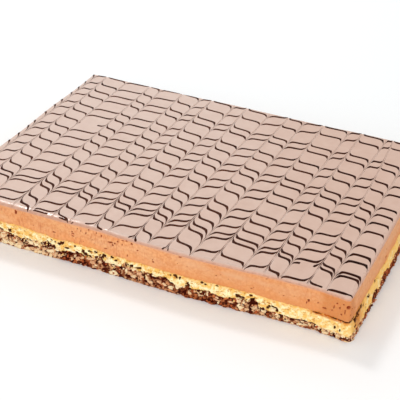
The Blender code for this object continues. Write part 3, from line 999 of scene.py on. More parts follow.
# Pits and knife marks: mm along, height, half width and half height
frontPits = (
    (77, 38, 1.2, 1.6), (136, 33.5, 0.8, 0.5), (137, 31.7, 1.2, 0.5), (137, 29, 1, 0.5),
    (117.5, 27.8, 1.6, 0.5), (174.5, 33.3, 1.8, 0.6), (176.5, 34.2, 1.5, 0.5),
    (178, 31.6, 0.7, 0.7), (180, 34, 0.5, 0.9), (170.5, 25.4, 1.6, 0.4), (188, 39.6, 1.4, 0.5),
    (197, 38.8, 0.9, 0.8), (193, 25.5, 0.4, 0.8), (245, 39.6, 1.4, 0.5), (244.5, 36.3, 1, 0.3),
    (279, 30.5, 0.5, 0.5), (219, 27, 0.8, 0.5), (362.5, 28.7, 1.1, 1), (361, 26, 0.4, 0.8),
    (312, 26, 1, 0.3), (377, 25.7, 2, 0.5), (398.8, 34, 1.2, 1.8), (385.5, 30, 0.5, 1.6),
    (396, 29, 0.4, 2), (371, 29, 0.5, 0.7), (384, 26.5, 0.6, 0.6), (150, 36, 0.4, 1.2),
    (166, 37, 0.4, 1.4), (141, 38, 0.4, 1), (144.5, 36.5, 0.4, 1.2), (153, 40, 0.5, 0.8),
    (161, 39, 0.4, 1), (183, 37, 0.8, 0.5), (203, 34, 0.8, 0.6), (187.5, 35, 0.4, 0.8),
    (192, 40.3, 1, 0.4), (218, 29, 0.4, 0.6), (157, 30.5, 0.5, 0.4), (391, 31, 0.5, 1),
    (388, 34.5, 0.6, 0.6), (394, 36, 0.6, 0.8), (393, 25.5, 0.5, 0.9),
)
rightPits = ((1, 34, 2, 1.6), (6, 30.5, 1.5, 0.7), (4, 26, 1, 0.8), (14, 27, 1.6, 0.5), (110, 22, 2, 1))


def moussePits(heights, step):
    # the listed pits, and scattered ones that crowd here and there
    dice = np.random.default_rng(mousse["seed"])
    dents = listedDents(frontPits, frontStart) + listedDents(rightPits, rightStart)
    while len(dents) < mousse["pits"]:
        spot = dice.random() * outlineLength
        crowd = 0.5 + 0.5 * noise.noise((spot * 30, 3.3, 0))
        rule = mousse["pitsListed"] if onListedSides(spot) else mousse["pitsElsewhere"]
        smaller, rarer, staying = rule
        smallest, largest = mousse["pitRadius"]
        radius = between((smallest * smaller, largest), dice.random() ** rarer)
        if dice.random() > crowd ** 2 * staying:
            continue
        level = heights[0, 0] + mousse["pitFloor"] + mousse["pitRange"] * dice.random()
        dents.append((spot, level, radius, radius * (0.6 + 0.4 * dice.random()), radius))
    return dents


def shapeMousse(spots, step, share):
    x, y, heights = spots[..., 0] + halfX, spots[..., 1] + halfY, spots[..., 2]
    front = ramp(y, *mousse["frontFace"])
    patches = lumps(spots, mousse["patchSize"], 2, stretch=(1, 1, 0.7), seed=23)
    patchy = np.clip(between(mousse["patches"], patches), 0, 1)
    leftShare = mousse["markedLeft"] * front * ramp(x, *mousse["leftUntil"])
    drawn = (mousse["marked"] + leftShare) * patchy
    torn = ramp(x, *mousse["roughX"]) * ramp(y, *mousse["roughY"])
    # painted shade towards the right, kept with the torn corner and the upper left's painted shade
    shadeRightShare = between(mousse["shadeRightShare"], ramp(y, *mousse["shadeRightTurn"]))
    shadedRight = ramp(x, *mousse["shadeRightX"]) * shadeRightShare
    shaded = (mousse["shaded"] * front * ramp(x, *mousse["shadeX"])
              * ramp(heights, *mousse["shadeHeight"]))
    marks = lumps(spots, mousse["marksSize"], 2, stretch=(1, 1, 0.12), seed=2)
    out = (lumps(spots, mousse["bellySize"], 2, seed=1) * mousse["belly"]
           + marks * mousse["marks"] * drawn
           + lumps(spots, mousse["smearSize"], 3, stretch=(0.35, 0.35, 2.2), seed=3) * mousse["smear"]
           + lumps(spots, mousse["roughSize"], 3, seed=6) * mousse["rough"] * torn
           - mousse["underGlazeDepth"] * ramp(share, *mousse["underGlaze"]) ** 2)
    hollow = np.zeros(heights.shape)
    ragged = lumps(spots, mousse["pitRagged"], 2, seed=7)
    dentWall(out, hollow, heights, step, moussePits(heights, step), ragged)
    wander = mousse["wander"] * lumps(spots, mousse["wanderSize"], 3, stretch=(0.5, 0.5, 1.4), seed=17)
    band = (np.exp(-((heights - mousse["paleHeight"]) / mousse["paleSpread"]) ** 2)
            * ramp(np.abs(x - mousse["palest"]), *mousse["paleX"]) * front)
    pale = np.clip(band * mousse["paleBand"] + wander, 0, 1)
    cloudy = np.clip(-wander, 0, mousse["wander"])
    warm = ramp(heights, *mousse["warmHeight"]) * mousse["warmLow"] + cloudy
    # the rough mask holds the torn corner and the painted shade
    return out, {"hollow": hollow, "pale": pale, "warm": np.clip(warm, 0, 1),
                 "rough": np.maximum(torn, shadedRight) + shaded, "drawn": drawn}


def mousseMaterial():
    material, tree, shader = startMaterial(
        "mousse", mousse["roughness"], Specular_IOR_Level=0.25, Subsurface_Weight=0.15,
        Subsurface_Radius=(0.004, 0.002, 0.001), Subsurface_Scale=0.5)
    cloud = addMottle(tree, mousse["light"], mousse["dark"], *mousse["clouds"])
    paler = mixBy(tree, maskRamp(tree, "pale", 0.0, 1.0), cloud["Color"], mousse["pale"])
    warmer = mixBy(tree, maskRamp(tree, "warm", 0.0, 1.0), paler, mousse["warm"])
    # the torn corner's brown, and painted shade towards the right and at the upper left
    brownShaded = mixBy(tree, maskRamp(tree, "rough", *mousse["brownShadeShows"]), warmer, mousse["brownShade"])
    upright = addNoise(tree, mousse["score"], 3.0, mousse["scoreStretch"])
    score = addRange(tree, upright, *mousse["scoreShows"])
    scored = addMath(tree, "MULTIPLY", score, maskRamp(tree, "drawn", 0.0, 1.0))
    marked = mixBy(tree, scored, brownShaded, mousse["scored"])
    topped = mixBy(tree, maskRamp(tree, "rise", *mousse["topShows"]), marked, mousse["top"])
    # painted shade inside the pits
    pitted = mixBy(tree, maskRamp(tree, "hollow", *mousse["pitShadeShows"]), topped, mousse["pitShade"])
    feed(tree, shader.inputs["Base Color"], pitted)
    addBump(tree, shader, addNoise(tree, mousse["grain"], 3.0), mousse["bump"])
    return material


def makeMousse():
    top = cake["top"] - cake["glazeThickness"] + mousse["intoGlaze"]
    piece = makeWall("mousse", mousse, lambda place: spongeCeiling(place) + mousse["overSponge"],
                     lambda place: np.full(len(place), top), mousseMaterial(), shapeMousse)
    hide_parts("mousse_layer")


# Hollows that cut through sponge and crunch: mm along, height, half width and half height
frontHollows = (
    (61, 15.3, 2, 1), (70, 16.5, 1.6, 1.8), (71, 10.5, 1.3, 1.9), (67, 9, 1.2, 1.4),
    (82, 8.5, 1.8, 2.2), (87, 8, 2, 2), (86, 11.5, 1.3, 0.9), (90, 5, 3, 0.9), (98, 6.3, 3, 0.7),
    (106, 12.4, 2.8, 1.1), (110, 14.5, 1.7, 1.9), (111.5, 11.5, 2.2, 2.4), (116, 12, 2.4, 1.3),
    (118, 10.6, 1.3, 1), (108, 8.5, 1.4, 1.4), (109, 5.3, 2, 1.2), (123.2, 17.2, 1.9, 1.2),
    (126, 18.7, 1.9, 1.2), (115, 19, 1, 0.9), (119, 18.3, 0.7, 0.7), (131, 14.8, 2.2, 0.8),
    (139, 18.8, 1, 0.9), (147.5, 15.6, 1.5, 1.9), (150, 13.5, 1.7, 1.7), (153, 12.2, 2.2, 0.8),
    (160.5, 18.6, 1.5, 0.9), (154.5, 17.8, 1.8, 0.9), (166.5, 16.5, 2.4, 1.2),
    (169.5, 18, 1.7, 1.5), (158, 12, 2.4, 0.8), (162.5, 13.8, 1.8, 0.8), (128, 9.5, 2, 1.6),
    (131, 6.5, 3, 2.2), (135, 9, 1.6, 1.6), (128, 4, 3, 1.6), (133, 1.8, 4, 1.8),
    (141.5, 12.5, 0.9, 1.9), (138, 5, 1.2, 1.6), (147, 2.5, 2.6, 1.6), (152, 4.5, 2, 0.9),
    (169, 7.8, 2.2, 2.2), (170, 2, 3.2, 1.4), (178.5, 10, 1.5, 1.9), (180, 7, 1.4, 1.2),
    (185, 8.5, 2.4, 2.4), (185, 5, 1.6, 1.6), (187, 1.2, 1.8, 2.4), (178, 18.8, 1.4, 1.2),
    (181.5, 16.5, 1.3, 1), (193, 15.8, 2.1, 1.7), (197.3, 15.8, 1.5, 1.5), (206, 16.2, 1.7, 0.9),
    (203, 15, 1.7, 0.7), (195, 3.5, 2.6, 1), (203, 4, 1.4, 1.2), (210.5, 8, 1.3, 2.6),
    (213, 3.8, 2.6, 0.9), (218, 11, 2, 2.6), (223, 10, 3, 0.9), (227, 3.5, 2, 1),
    (231, 13.2, 2.8, 1.5), (229, 11.6, 1.8, 1.1), (237.5, 10.4, 1.7, 1), (241, 19.3, 1.5, 1.3),
    (242.5, 17.8, 1, 0.9), (245.5, 18.6, 0.9, 1.2), (236.5, 18.8, 0.9, 0.8), (254, 14, 1.5, 1.5),
    (252.5, 11.5, 1.2, 1), (251, 8.5, 1.7, 1.7), (249, 4, 3, 1.1), (242, 8, 1, 1.2),
    (255, 8, 1, 1.4), (266.5, 20, 1.2, 1.1), (270, 19, 0.9, 0.7), (280.5, 20.4, 1.2, 0.6),
    (265, 9, 3, 1.5), (269, 8, 1.7, 1), (275, 9.5, 1.5, 1), (286, 4, 4, 1.1), (276, 3, 4, 1.4),
    (282, 1.5, 4, 1.4), (270, 1.2, 3, 1.2), (285, 8.2, 2.5, 0.8), (294, 10.5, 1.7, 1.3),
    (301, 14.8, 2.5, 1.4), (299, 16, 1, 0.9), (305, 15, 1.4, 0.9), (307.5, 12, 0.9, 1.7),
    (313.5, 14, 2.2, 2.2), (316, 12, 2.3, 2.5), (312.5, 10.5, 1.6, 2), (312, 6.5, 1.5, 3),
    (312, 2.5, 1.5, 2.2), (312, 18.8, 1.2, 1), (327.5, 10.8, 1, 1.3), (329.2, 12.6, 1.3, 1),
    (331.8, 13.4, 1.4, 0.9), (334.2, 12.5, 1.3, 1.1), (336.2, 10.6, 1.2, 1.4), (329, 6, 1.8, 0.9),
    (334, 7.2, 1.6, 0.7), (341, 6.5, 2, 0.9), (351, 5, 2.6, 0.8), (357, 6.3, 1.6, 0.9),
    (362.5, 7, 1.9, 1), (369, 7, 1.9, 0.7), (388.5, 10.5, 1, 1.2), (393.8, 10, 0.6, 1),
    (389.5, 1.8, 1.4, 1.8), (385, 3, 1.4, 0.8), (371, 19.2, 3.4, 0.4), (386.5, 19.5, 3.6, 0.4),
    (392.5, 19.8, 1.6, 0.4), (397, 20.4, 2, 0.6),
)
rightHollows = (
    (1, 19.8, 3, 0.8), (8, 19.6, 4, 0.8), (15, 15, 3.4, 2.6), (20, 17.5, 3, 1.8),
    (25, 18, 3, 1.6), (31, 18, 2.6, 1.6), (22, 13.5, 2, 1.4), (38, 16.5, 1.6, 1.4),
    (51, 16, 3, 1.2), (55, 13.8, 2, 1), (72, 18.6, 2.6, 1.1), (79, 17, 1.6, 0.9),
    (12, 10, 1.6, 0.8), (1, 3, 2.4, 1.2), (68, 6.5, 3, 1.6), (80, 2, 2.6, 1.2), (47, 3, 4, 1.4),
    (98, 8, 3, 1.4), (105, 6.5, 4, 1.6), (110, 9, 2, 1.2), (122, 3, 5, 2.4), (132, 5.5, 3, 1.8),
    (148, 6, 3, 1.6), (158, 4, 4, 2),
)
hollows = {
    "count": 260, "seed": 20,
    "wide": (0.0008, 0.0030), "high": (0.0007, 0.0023), "skew": 1.5,
    "scatter": 0.0038, "lowest": 0.0015,       # how far above and below the sponge's floor
    "depth": 0.0008, "deepen": 1.1,
}


def sideHollows():
    # the listed hollows, and scattered ones where no list reaches
    dice = np.random.default_rng(hollows["seed"])
    dents = listedDents(frontHollows, frontStart) + listedDents(rightHollows, rightStart)
    for _ in range(hollows["count"]):
        spot = dice.random() * outlineLength
        wide = between(hollows["wide"], dice.random() ** hollows["skew"])
        high = between(hollows["high"], dice.random() ** hollows["skew"])
        luck, place = dice.normal(), outlineAt(np.array([spot]))[0]
        if not onListedSides(spot):
            level = max(spongeFloor(place)[0] + luck * hollows["scatter"], hollows["lowest"])
            depth = hollows["depth"] + min(wide, high) * hollows["deepen"]
            dents.append((spot, level, wide, high, depth))
    return dents


sponge = {
    "step": 0.0006, "rows": 24,
    "relief": 0.0007, "reliefSize": 0.007, "crumb": 0.00035, "crumbSize": 0.0016,
    "standsOut": 0.0003, "tuck": 0.0010, "tucked": (0.08, 0.0),     # the tuck is near the crunch
    "holes": 3000, "holeRadius": (0.0003, 0.0010), "holeDepth": 1.1, "seed": 21,
    "rightFace": (0.397, 0.400),               # what is right of this counts as the right side
    # painted warm light: in patches on the right side, and faintly on the front towards the right
    "warmRight": (0.63, 1.53), "warmLimits": (0.3, 0.9), "warmSize": 0.008,
    "warmFront": 0.2, "warmX": (0.320, 0.370),
    # painted warm shadow: a patch low on the right side near the front, with painted warm reflected
    # light, and a shadow line under the mousse at the front right corner
    "warmShadowPatch": 0.7, "warmShadowY": 0.021, "warmShadowSpread": 0.013, "warmShadowRise": (0.004, 0.008),
    "warmShadowX": (0.362, 0.370), "warmShadowFront": (0.010, 0.008), "warmShadowBand": (0.0166, 0.0182),
    "warmShadowUsual": 0.85, "warmShadowLeast": 0.4,
    "light": colour(255, 244, 196), "dark": colour(244, 196, 108), "shade": colour(220, 156, 72),
    # hole is painted shade in the small holes
    "holeShade": colour(206, 142, 62), "deep": colour(84, 36, 9), "top": colour(246, 186, 100),
    "warm": colour(255, 206, 116), "caramel": colour(196, 98, 22),
    "clouds": (210.0, 7.0, 6.5), "fine": (520.0, 3.0, 3.4), "bump": 0.0007, "roughness": 0.85,
    "speckleShows": (0.40, 0.26, 0.0, 0.85), "holeShadeShows": (0.3, 0.95),   # where each mask sets in
    # deep is painted shade in the deep hollows, partly the brown seen inside them
    "topShows": (0.68, 1.12), "deepShadeShows": (0.02, 0.40),
}


def spongeHoles(heights, step):
    dice = np.random.default_rng(sponge["seed"])
    dents = []
    for _ in range(sponge["holes"]):
        spot = dice.random() * outlineLength
        radius = between(sponge["holeRadius"], dice.random() ** 3)
        column = heights[int(spot / step) % len(heights)]
        level = between((column[0], column[-1]), dice.random())
        dents.append((spot, level, radius * (1 + dice.random()), radius,
                      radius * sponge["holeDepth"]))
    return dents


def shapeSponge(spots, step, share):
    x, y, heights = spots[..., 0] + halfX, spots[..., 1] + halfY, spots[..., 2]
    out = (lumps(spots, sponge["reliefSize"], 3, seed=4) * sponge["relief"] + sponge["standsOut"]
           + lumps(spots, sponge["crumbSize"], 3, seed=5) * sponge["crumb"])
    hollow, deep = np.zeros(heights.shape), np.zeros(heights.shape)
    ragged = lumps(spots, dent["raggedSize"], 3, seed=18)
    dentWall(out, hollow, heights, step, spongeHoles(heights, step), ragged)
    dentWall(out, deep, heights, step, sideHollows(), ragged)
    out = out - sponge["tuck"] * ramp(share, *sponge["tucked"]) ** 2
    onRight = ramp(x, *sponge["rightFace"])
    patches = between(sponge["warmRight"], lumps(spots, sponge["warmSize"], 2, seed=26))
    patches = np.clip(patches, *sponge["warmLimits"])
    # painted warm light on the right side and the front's right end
    warm = patches * onRight + sponge["warmFront"] * ramp(x, *sponge["warmX"]) * (1 - onRight)
    # painted warm shadow: the patch on the right side and the shadow line under the mousse
    near = np.exp(-((y - sponge["warmShadowY"]) / sponge["warmShadowSpread"]) ** 2)
    rightPatch = sponge["warmShadowPatch"] * onRight * near * ramp(heights, *sponge["warmShadowRise"])
    frontBand = ((1 - onRight) * ramp(x, *sponge["warmShadowX"]) * ramp(y, *sponge["warmShadowFront"])
                 * ramp(heights, *sponge["warmShadowBand"])
                 * np.clip(sponge["warmShadowUsual"] + ragged, sponge["warmShadowLeast"], 1))
    return out, {"hollow": hollow, "deep": deep, "warm": warm, "caramel": rightPatch + frontBand}


def spongeMaterial():
    material, tree, shader = startMaterial(
        "sponge", sponge["roughness"], Specular_IOR_Level=0.15, Subsurface_Weight=0.15,
        Subsurface_Radius=(0.003, 0.002, 0.001), Subsurface_Scale=0.4)
    cloud = addMottle(tree, sponge["light"], sponge["dark"], *sponge["clouds"])
    fine = addMottle(tree, (1, 1, 1, 1), (0, 0, 0, 1), *sponge["fine"])
    speckles = addRange(tree, fine["Height"], *sponge["speckleShows"])
    speckled = mixBy(tree, speckles, cloud["Color"], sponge["shade"])
    # painted shade in the small holes
    holed = mixBy(tree, maskRamp(tree, "hollow", *sponge["holeShadeShows"]), speckled, sponge["holeShade"])
    # painted warm light
    warmer = mixBy(tree, maskRamp(tree, "warm", 0.0, 1.0), holed, sponge["warm"])
    topped = mixBy(tree, maskRamp(tree, "rise", *sponge["topShows"]), warmer, sponge["top"])
    # painted warm shadow
    warmShadowed = mixBy(tree, maskRamp(tree, "caramel", 0.0, 1.0), topped, sponge["caramel"])
    # painted shade in the deep hollows, partly the brown seen inside them
    deepShaded = mixBy(tree, maskRamp(tree, "deep", *sponge["deepShadeShows"]), warmShadowed, sponge["deep"])
    feed(tree, shader.inputs["Base Color"], deepShaded)
    addBump(tree, shader, fine["Height"], sponge["bump"])
    return material


def makeSponge():
    piece = makeWall("sponge", sponge, spongeFloor, spongeCeiling, spongeMaterial(),
                     shapeSponge)
    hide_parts("sponge_layer")


crunch = {
    "step": 0.0006, "rows": 20,
    "relief": 0.0016, "reliefSize": 0.006, "grit": 0.0006, "gritSize": 0.0018, "standsIn": 0.0007,
    "gaps": 1500, "gapWide": (0.0005, 0.0021), "gapHigh": (0.0004, 0.0012), "gapDepth": 0.0006,
    "seed": 51,
    "footing": 0.0022,                         # dents fade out below this height
    "light": colour(204, 120, 70), "dark": colour(70, 14, 3), "deep": colour(84, 24, 8),
    "paleLight": colour(255, 226, 176), "paleDark": colour(176, 104, 60),
    "clouds": (300.0, 5.0, 5.0), "paleClouds": (300.0, 5.0, 6.0), "bump": 0.0010, "roughness": 0.7,
    # deep is painted shade in the gaps and hollows
    "paleShows": (0.35, 0.85), "deepShadeShows": (0.02, 0.35),    # where each mask sets in
}


def crunchGaps(heights, step):
    dice = np.random.default_rng(crunch["seed"])
    gaps = []
    for _ in range(crunch["gaps"]):
        spot = dice.random() * outlineLength
        wide = between(crunch["gapWide"], dice.random() ** 2)
        high = between(crunch["gapHigh"], dice.random() ** 2)
        level = heights[int(spot / step) % len(heights), -1] * dice.random()
        gaps.append((spot, level, wide, high, crunch["gapDepth"] + high))
    return gaps


def shapeCrunch(spots, step, share):
    heights = spots[..., 2]
    plain = (lumps(spots, crunch["reliefSize"], 4, stretch=(1, 1, 1.6), seed=14) * crunch["relief"]
             - crunch["standsIn"] + lumps(spots, crunch["gritSize"], 3, seed=15) * crunch["grit"])
    out, deep = plain.copy(), np.zeros(heights.shape)
    ragged = lumps(spots, dent["raggedSize"], 3, seed=18)
    dentWall(out, deep, heights, step, sideHollows() + crunchGaps(heights, step), ragged)
    out = plain + (out - plain) * ramp(heights, 0, crunch["footing"])
    pale = np.repeat(paleShare(spots[:, 0, :2])[:, None], len(share), 1)
    return out, {"deep": deep, "pale": pale}


def crunchMaterial():
    material, tree, shader = startMaterial("crunch", crunch["roughness"], Specular_IOR_Level=0.08)
    cloud = addMottle(tree, crunch["light"], crunch["dark"], *crunch["clouds"])
    creamy = addMottle(tree, crunch["paleLight"], crunch["paleDark"], *crunch["paleClouds"])
    blend = mixBy(tree, maskRamp(tree, "pale", *crunch["paleShows"]), cloud["Color"], creamy["Color"])
    # painted shade in the gaps and hollows
    deepShaded = mixBy(tree, maskRamp(tree, "deep", *crunch["deepShadeShows"]), blend, crunch["deep"])
    feed(tree, shader.inputs["Base Color"], deepShaded)
    addBump(tree, shader, cloud["Height"], crunch["bump"])
    return material


def makeCrunch():
    piece = makeWall("crunch", crunch, lambda place: np.zeros(len(place)), spongeFloor,
                     crunchMaterial(), shapeCrunch)
    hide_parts("crunch_base")


# How many of the chips are pale, in percent, along the front and the right side. Elsewhere
# they are pale in patches.
frontPale = (
    (54, 60), (60, 70), (100, 80), (120, 60), (127, 10), (140, 20), (150, 30), (160, 50),
    (200, 55), (215, 45), (235, 45), (258, 30), (272, 12), (296, 12), (304, 55), (320, 65),
    (345, 55), (370, 60), (390, 85), (400, 80),
)
rightPale = ((0, 75), (30, 60), (40, 12), (75, 25), (84, 45), (90, 15), (120, 6), (150, 15), (170, 30))
paleRule = {"usual": 0.45, "patchSize": 0.025, "least": 0.03, "most": 0.97, "darkLeft": 0.8}
# Large pieces on the front: mm along and up to the middle, width and height in mm, tilt in
# degrees, and paleness
frontChunks = (
    (62, 9.5, 5, 4, 0, 0.9), (64, 2.6, 8, 4.6, 8, 1), (71.5, 2.4, 5, 4, 0, 0.9),
    (79.5, 2.3, 8, 4.4, 0, 0.95), (95.5, 9.8, 12, 3.4, -12, 1), (94, 3.8, 6, 2.5, 10, 0.35),
    (102, 1.8, 5.5, 3.4, 25, 0.85), (75.5, 7.5, 6, 4, 0, 0.75), (81, 5.5, 5, 3, 0, 0.6),
    (88.5, 2.2, 6, 3.4, 0, 0.85), (98, 3, 4.4, 2.4, 0, 0.8), (106.5, 2.8, 4, 3, 0, 0.7),
    (108, 7.2, 4, 2.4, 0, 0.4), (118.6, 4.5, 3, 4, 0, 0.65), (123, 4, 4, 3.4, 10, 0.5),
    (113.5, 6, 6.6, 5.4, 0, 0.9), (113.5, 1.8, 3.4, 3, 0, 0.9), (121, 11, 5.4, 4.6, 20, 1),
    (125.5, 12.6, 5, 3, 10, 0.9), (137, 12.3, 5, 2.4, 0, 0.9), (139, 8, 3, 2.2, 30, 0.6),
    (136, 4.6, 3, 4.4, 0, 0.55), (142, 6, 4, 4.4, 20, 0.35), (146, 8.4, 3.4, 3, 0, 0.6),
    (155, 9.6, 6.4, 2.4, 12, 0.65), (157, 6.4, 5, 3, 0, 0.35), (161, 4.8, 3, 2, 0, 0.8),
    (165, 9.4, 4, 2.6, 20, 0.55), (175, 13.6, 10, 5, 0, 0.95), (183, 13, 5, 3, 0, 0.9),
    (192.5, 9, 3, 4, 0, 0.85), (179.5, 2.4, 9, 4.6, 15, 1), (196, 7.4, 4, 3, 0, 0.4),
    (200, 13, 5, 3.4, 0, 0.95), (205.5, 9.8, 5, 4, 0, 0.4), (208, 6.8, 3, 4.6, 0, 0.35),
    (200, 5.6, 5, 2.4, 8, 0.75), (213.5, 8, 3, 4.4, 0, 0.9), (217, 5, 5, 2.4, 0, 0.6),
    (222, 13.4, 6, 2.6, 8, 0.95), (226, 7.6, 4, 3, 0, 0.35), (238, 5.6, 6, 3.6, 0, 0.95),
    (244.5, 9, 5, 4.6, 0, 0.95), (231, 7.6, 5, 3, 0, 0.6), (255.5, 5.6, 3, 4, 0, 0.8),
    (260, 8.6, 3, 2.6, 0, 0.4), (272, 9, 3.6, 4, 0, 0.85), (266, 6, 4.4, 1.5, 0, 0.6),
    (283, 3.6, 1.6, 3.6, 0, 0.9), (281, 6, 6, 1.2, 0, 0.4), (294, 7, 5, 2, 0, 0.5),
    (301, 11, 4, 4.4, 0, 0.8), (306, 10, 2, 3.4, 0, 0.85), (303.5, 5, 5.4, 4.4, 0, 0.95),
    (308.5, 3.4, 3, 3, 0, 0.6), (315.5, 6.2, 3.8, 3, 0, 0.8), (323.5, 6.2, 6.4, 3, 8, 0.95),
    (332, 10.4, 5.4, 4, 0, 0.95), (331, 8, 5, 1.8, 0, 0.6), (337, 4.4, 4, 3.4, 0, 0.85),
    (344, 5.4, 4, 1.7, 0, 0.55), (355, 4.8, 5, 1.4, 0, 0.5), (346, 2.8, 6, 1.8, 0, 0.9),
    (360, 3.2, 9, 1.7, 0, 0.9), (374, 4.2, 4.4, 3, 0, 0.75), (381, 2.6, 6.4, 2, 0, 0.85),
    (384, 5.4, 3, 2.6, 0, 0.9), (388, 6.6, 5, 3, 0, 0.95), (393, 3.4, 4, 2.4, 0, 0.8),
    (397, 5.4, 3, 3.4, 0, 0.9),
)

# Chips in the cut sides: length, depth and height in metres, lean and turn in degrees, and
# how far they stand out
chunk = {"count": 190, "long": (0.0025, 0.0100), "deep": (0.0016, 0.0026), "high": (0.0016, 0.0048),
         "rounds": 2, "bend": 1.5, "jagged": 1.0, "lean": 20, "yaw": 12, "seed": 40,
         "stickOut": (-0.0007, 0.0001), "listedDeep": 0.0024, "listedOut": -0.0006}
wafer = {"count": 1300, "long": (0.0012, 0.0046), "deep": (0.0010, 0.0020), "high": (0.0007, 0.0022),
         "rounds": 1, "bend": 1.3, "jagged": 0.7, "lean": 32, "yaw": 25, "seed": 41,
         "stickOut": (-0.0010, 0.0001),
         "dark": colour(224, 150, 104), "light": colour(255, 241, 202), "rough": 0.8}
nugget = {"count": 1500, "long": (0.0012, 0.0048), "deep": (0.0010, 0.0026), "high": (0.0009, 0.0032),
          "rounds": 1, "bend": 1.3, "jagged": 0.7, "lean": 90, "yaw": 60, "seed": 42,
          "stickOut": (-0.0012, 0.0001),
          "dark": colour(62, 10, 3), "light": colour(192, 102, 58), "rough": 0.65}
crumb = {"count": 700, "long": (0.0009, 0.0036), "deep": (0.0008, 0.0020), "high": (0.0008, 0.0024),
         "rounds": 1, "bend": 1.3, "jagged": 0.6, "lean": 60, "yaw": 60, "seed": 43,
         "stickOut": (-0.0006, 0.0003),
         "reach": (-0.00312, 0.00208),     # how far below and above the sponge's floor they lie
         "dark": colour(246, 200, 120), "light": colour(255, 242, 196), "rough": 0.85}


def paleShare(place):
    patchy = paleRule["usual"] * (1 + lumps(onFloor(place), paleRule["patchSize"], 2, seed=19))
    # bySide turns percent into thousandths, so a tenth of the share
    tenth = bySide(place, frontPale, rightPale, patchy / 10)
    return np.clip(tenth * 10, paleRule["least"], paleRule["most"])


def scatter(look, levelAt, pale=True, keep=None):
    # chips at random places on the cut side, kept where the luck of the place allows
    count = look["count"]
    dice = np.random.default_rng(look["seed"] + chip["placeSeed"])
    along = dice.random(count) * outlineLength
    place, outward = outlineAt(along)
    level = levelAt(place, dice.random(count))
    out = footSpread(outward, level) + between(look["stickOut"], dice.random(count))
    spots = np.concatenate([place + outward * out[:, None], level[:, None]], 1)
    skew = dice.random((count, 3))
    sizes = np.stack([between(look["long"], skew[:, 0] ** 2), between(look["deep"], skew[:, 1]),
                      between(look["high"], skew[:, 2] ** 1.5)], 1)
    leans = np.radians(look["lean"]) * (dice.random(count) * 2 - 1)
    tones = dice.random(count)
    share = paleShare(place) if pale else 1 - paleShare(place) * paleRule["darkLeft"]
    kept = dice.random(count) < share
    if keep is not None:
        kept &= keep(along)
    return spots[kept], outward[kept], sizes[kept], leans[kept], tones[kept]


def listedChunks():
    # the large pieces on the front, in the form that scatter gives
    along, level, wide, high, tilt, tone = np.array(frontChunks).T
    level = level * mm
    place, outward = outlineAt(frontStart + along * mm)
    out = footSpread(outward, level) + chunk["listedOut"]
    spots = np.concatenate([place + outward * out[:, None], level[:, None]], 1)
    sizes = np.stack([wide * mm, np.full(len(wide), chunk["listedDeep"]), high * mm], 1)
    return spots, outward, sizes, np.radians(tilt), tone


def chipMaterial(name, look):
    material, tree, shader = startMaterial(name, look["rough"], Specular_IOR_Level=0.08)
    clouds = addMottle(tree, (1, 1, 1, 1), chip["stain"], *chip["clouds"])
    base = mixBy(tree, maskRamp(tree, "tone", 0.0, 1.0), look["dark"], look["light"])
    stained = mixBy(tree, chip["stained"], base, clouds["Color"], blend_type="MULTIPLY")
    feed(tree, shader.inputs["Base Color"], stained)
    addBump(tree, shader, clouds["Height"], chip["bump"])
    return material


def inCrunch(place, luck):
    return between((chip["middleFrom"], spongeFloor(place)), luck)


def nearFloor(place, luck):
    return spongeFloor(place) + between(crumb["reach"], luck)


def makeSideChips():
    flakes = chipMaterial("waferFlakes", wafer)
    loose = scatter(chunk, inCrunch, keep=lambda along: ~onListedSides(along))
    both = [np.concatenate(pair) for pair in zip(listedChunks(), loose)]
    makeChips("wafer_chunks", chunk, *both, flakes, "crunch")
    makeChips("wafer_flakes", wafer, *scatter(wafer, inCrunch), flakes, "crunch")
    praline = chipMaterial("pralineNuggets", nugget)
    makeChips("praline_nuggets", nugget, *scatter(nugget, inCrunch, pale=False), praline, "crunch")
    crumbs = chipMaterial("spongeCrumbs", crumb)
    makeChips("sponge_crumbs", crumb, *scatter(crumb, nearFloor), crumbs, "sponge")


stage = {
    "floor": colour(255, 255, 255), "floorSize": 6.0, "floorDrop": 0.0002,
    "floorRoughness": 0.9, "sky": 0.665,
    "lights": {
        "keySoftbox": {"place": (-1.18, 1.0, 1.85), "size": 0.40, "power": 14.0},
        "fillSoftbox": {"place": (0.30, -1.9, 0.9), "size": 1.2, "power": 14.5},
        "hazeSoftbox": {"place": (-1.3, 2.05, 1.1), "size": 1.4, "power": 8.0,
                        "tint": (0.55, 0.88, 1.0)},
        "warmSoftbox": {"place": (1.35, -0.75, 0.28), "size": 0.8, "power": 2.2,
                        "tint": (1.0, 0.74, 0.46)},
    },
    "aim": (0, 0, 0.02),
}
camera = {
    "place": (0.5464, -0.7179, 0.5168),        # from the glaze's front left corner
    "yaw": -21.7, "pitch": 30.684, "roll": 2.863,   # in degrees, the pitch downwards
    "lens": 96.2, "sensor": 36.0,              # in mm
}


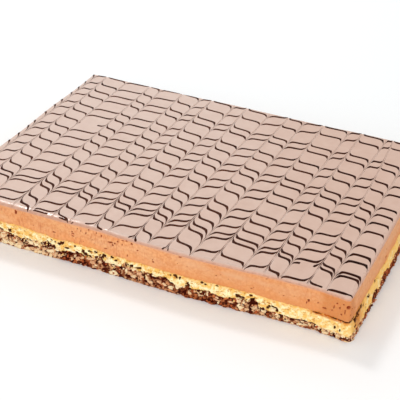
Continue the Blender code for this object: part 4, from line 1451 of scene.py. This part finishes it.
def makeLight(name, look):
    light = bpy.data.lights.new(name, "AREA")
    light.size = look["size"]
    light.energy = look["power"]
    light.color = look.get("tint", (1, 1, 1))
    lamp = bpy.data.objects.new(name, light)
    lamp.location = look["place"]
    aim = Vector(stage["aim"]) - lamp.location
    lamp.rotation_euler = aim.to_track_quat("-Z", "Y").to_euler()
    bpy.context.scene.collection.objects.link(lamp)


def makeStage():
    bpy.ops.mesh.primitive_plane_add(size=stage["floorSize"], location=(0, 0, -stage["floorDrop"]))
    floor = bpy.context.object
    floor.name = "floor"
    paper, _, _ = startMaterial("floorPaper", stage["floorRoughness"], Specular_IOR_Level=0.1,
                                Base_Color=stage["floor"])
    floor.data.materials.append(paper)
    world = bpy.data.worlds.new("studio")
    bpy.context.scene.world = world
    world.use_nodes = True
    sky = world.node_tree.nodes["Background"]
    sky.inputs["Color"].default_value = (1, 1, 1, 1)
    sky.inputs["Strength"].default_value = stage["sky"]
    for name, look in stage["lights"].items():
        makeLight(name, look)
    bpy.context.scene.view_settings.view_transform = "Standard"
    print(f"stage: a pale floor and {len(stage['lights'])} soft lights")


def makeCamera():
    yaw, pitch, roll = [math.radians(camera[turn]) for turn in ("yaw", "pitch", "roll")]
    forward = Vector((math.sin(yaw) * math.cos(pitch), math.cos(yaw) * math.cos(pitch),
                      -math.sin(pitch)))
    right = Vector((math.cos(yaw), -math.sin(yaw), 0))
    up = right.cross(forward)
    rolledRight = right * math.cos(roll) + up * math.sin(roll)
    rolledUp = up * math.cos(roll) - right * math.sin(roll)
    data = bpy.data.cameras.new("camera")
    data.sensor_width, data.lens = camera["sensor"], camera["lens"]
    lens = bpy.data.objects.new("camera", data)
    turn = Matrix((rolledRight, rolledUp, -forward)).transposed()
    corner = Vector(cakeShift) + Vector((-halfX, -halfY, cake["top"]))
    lens.matrix_world = Matrix.Translation(corner + Vector(camera["place"])) @ turn.to_4x4()
    bpy.context.scene.collection.objects.link(lens)
    bpy.context.scene.camera = lens
    print(f"camera: {camera['lens']:.0f} mm lens, {camera['pitch']:.0f} degrees down")


makeStage()
makeCamera()
makeGlaze()
makeLines()
makeThreads()
makeMousse()
makeSponge()
makeCrunch()
makeSideChips()
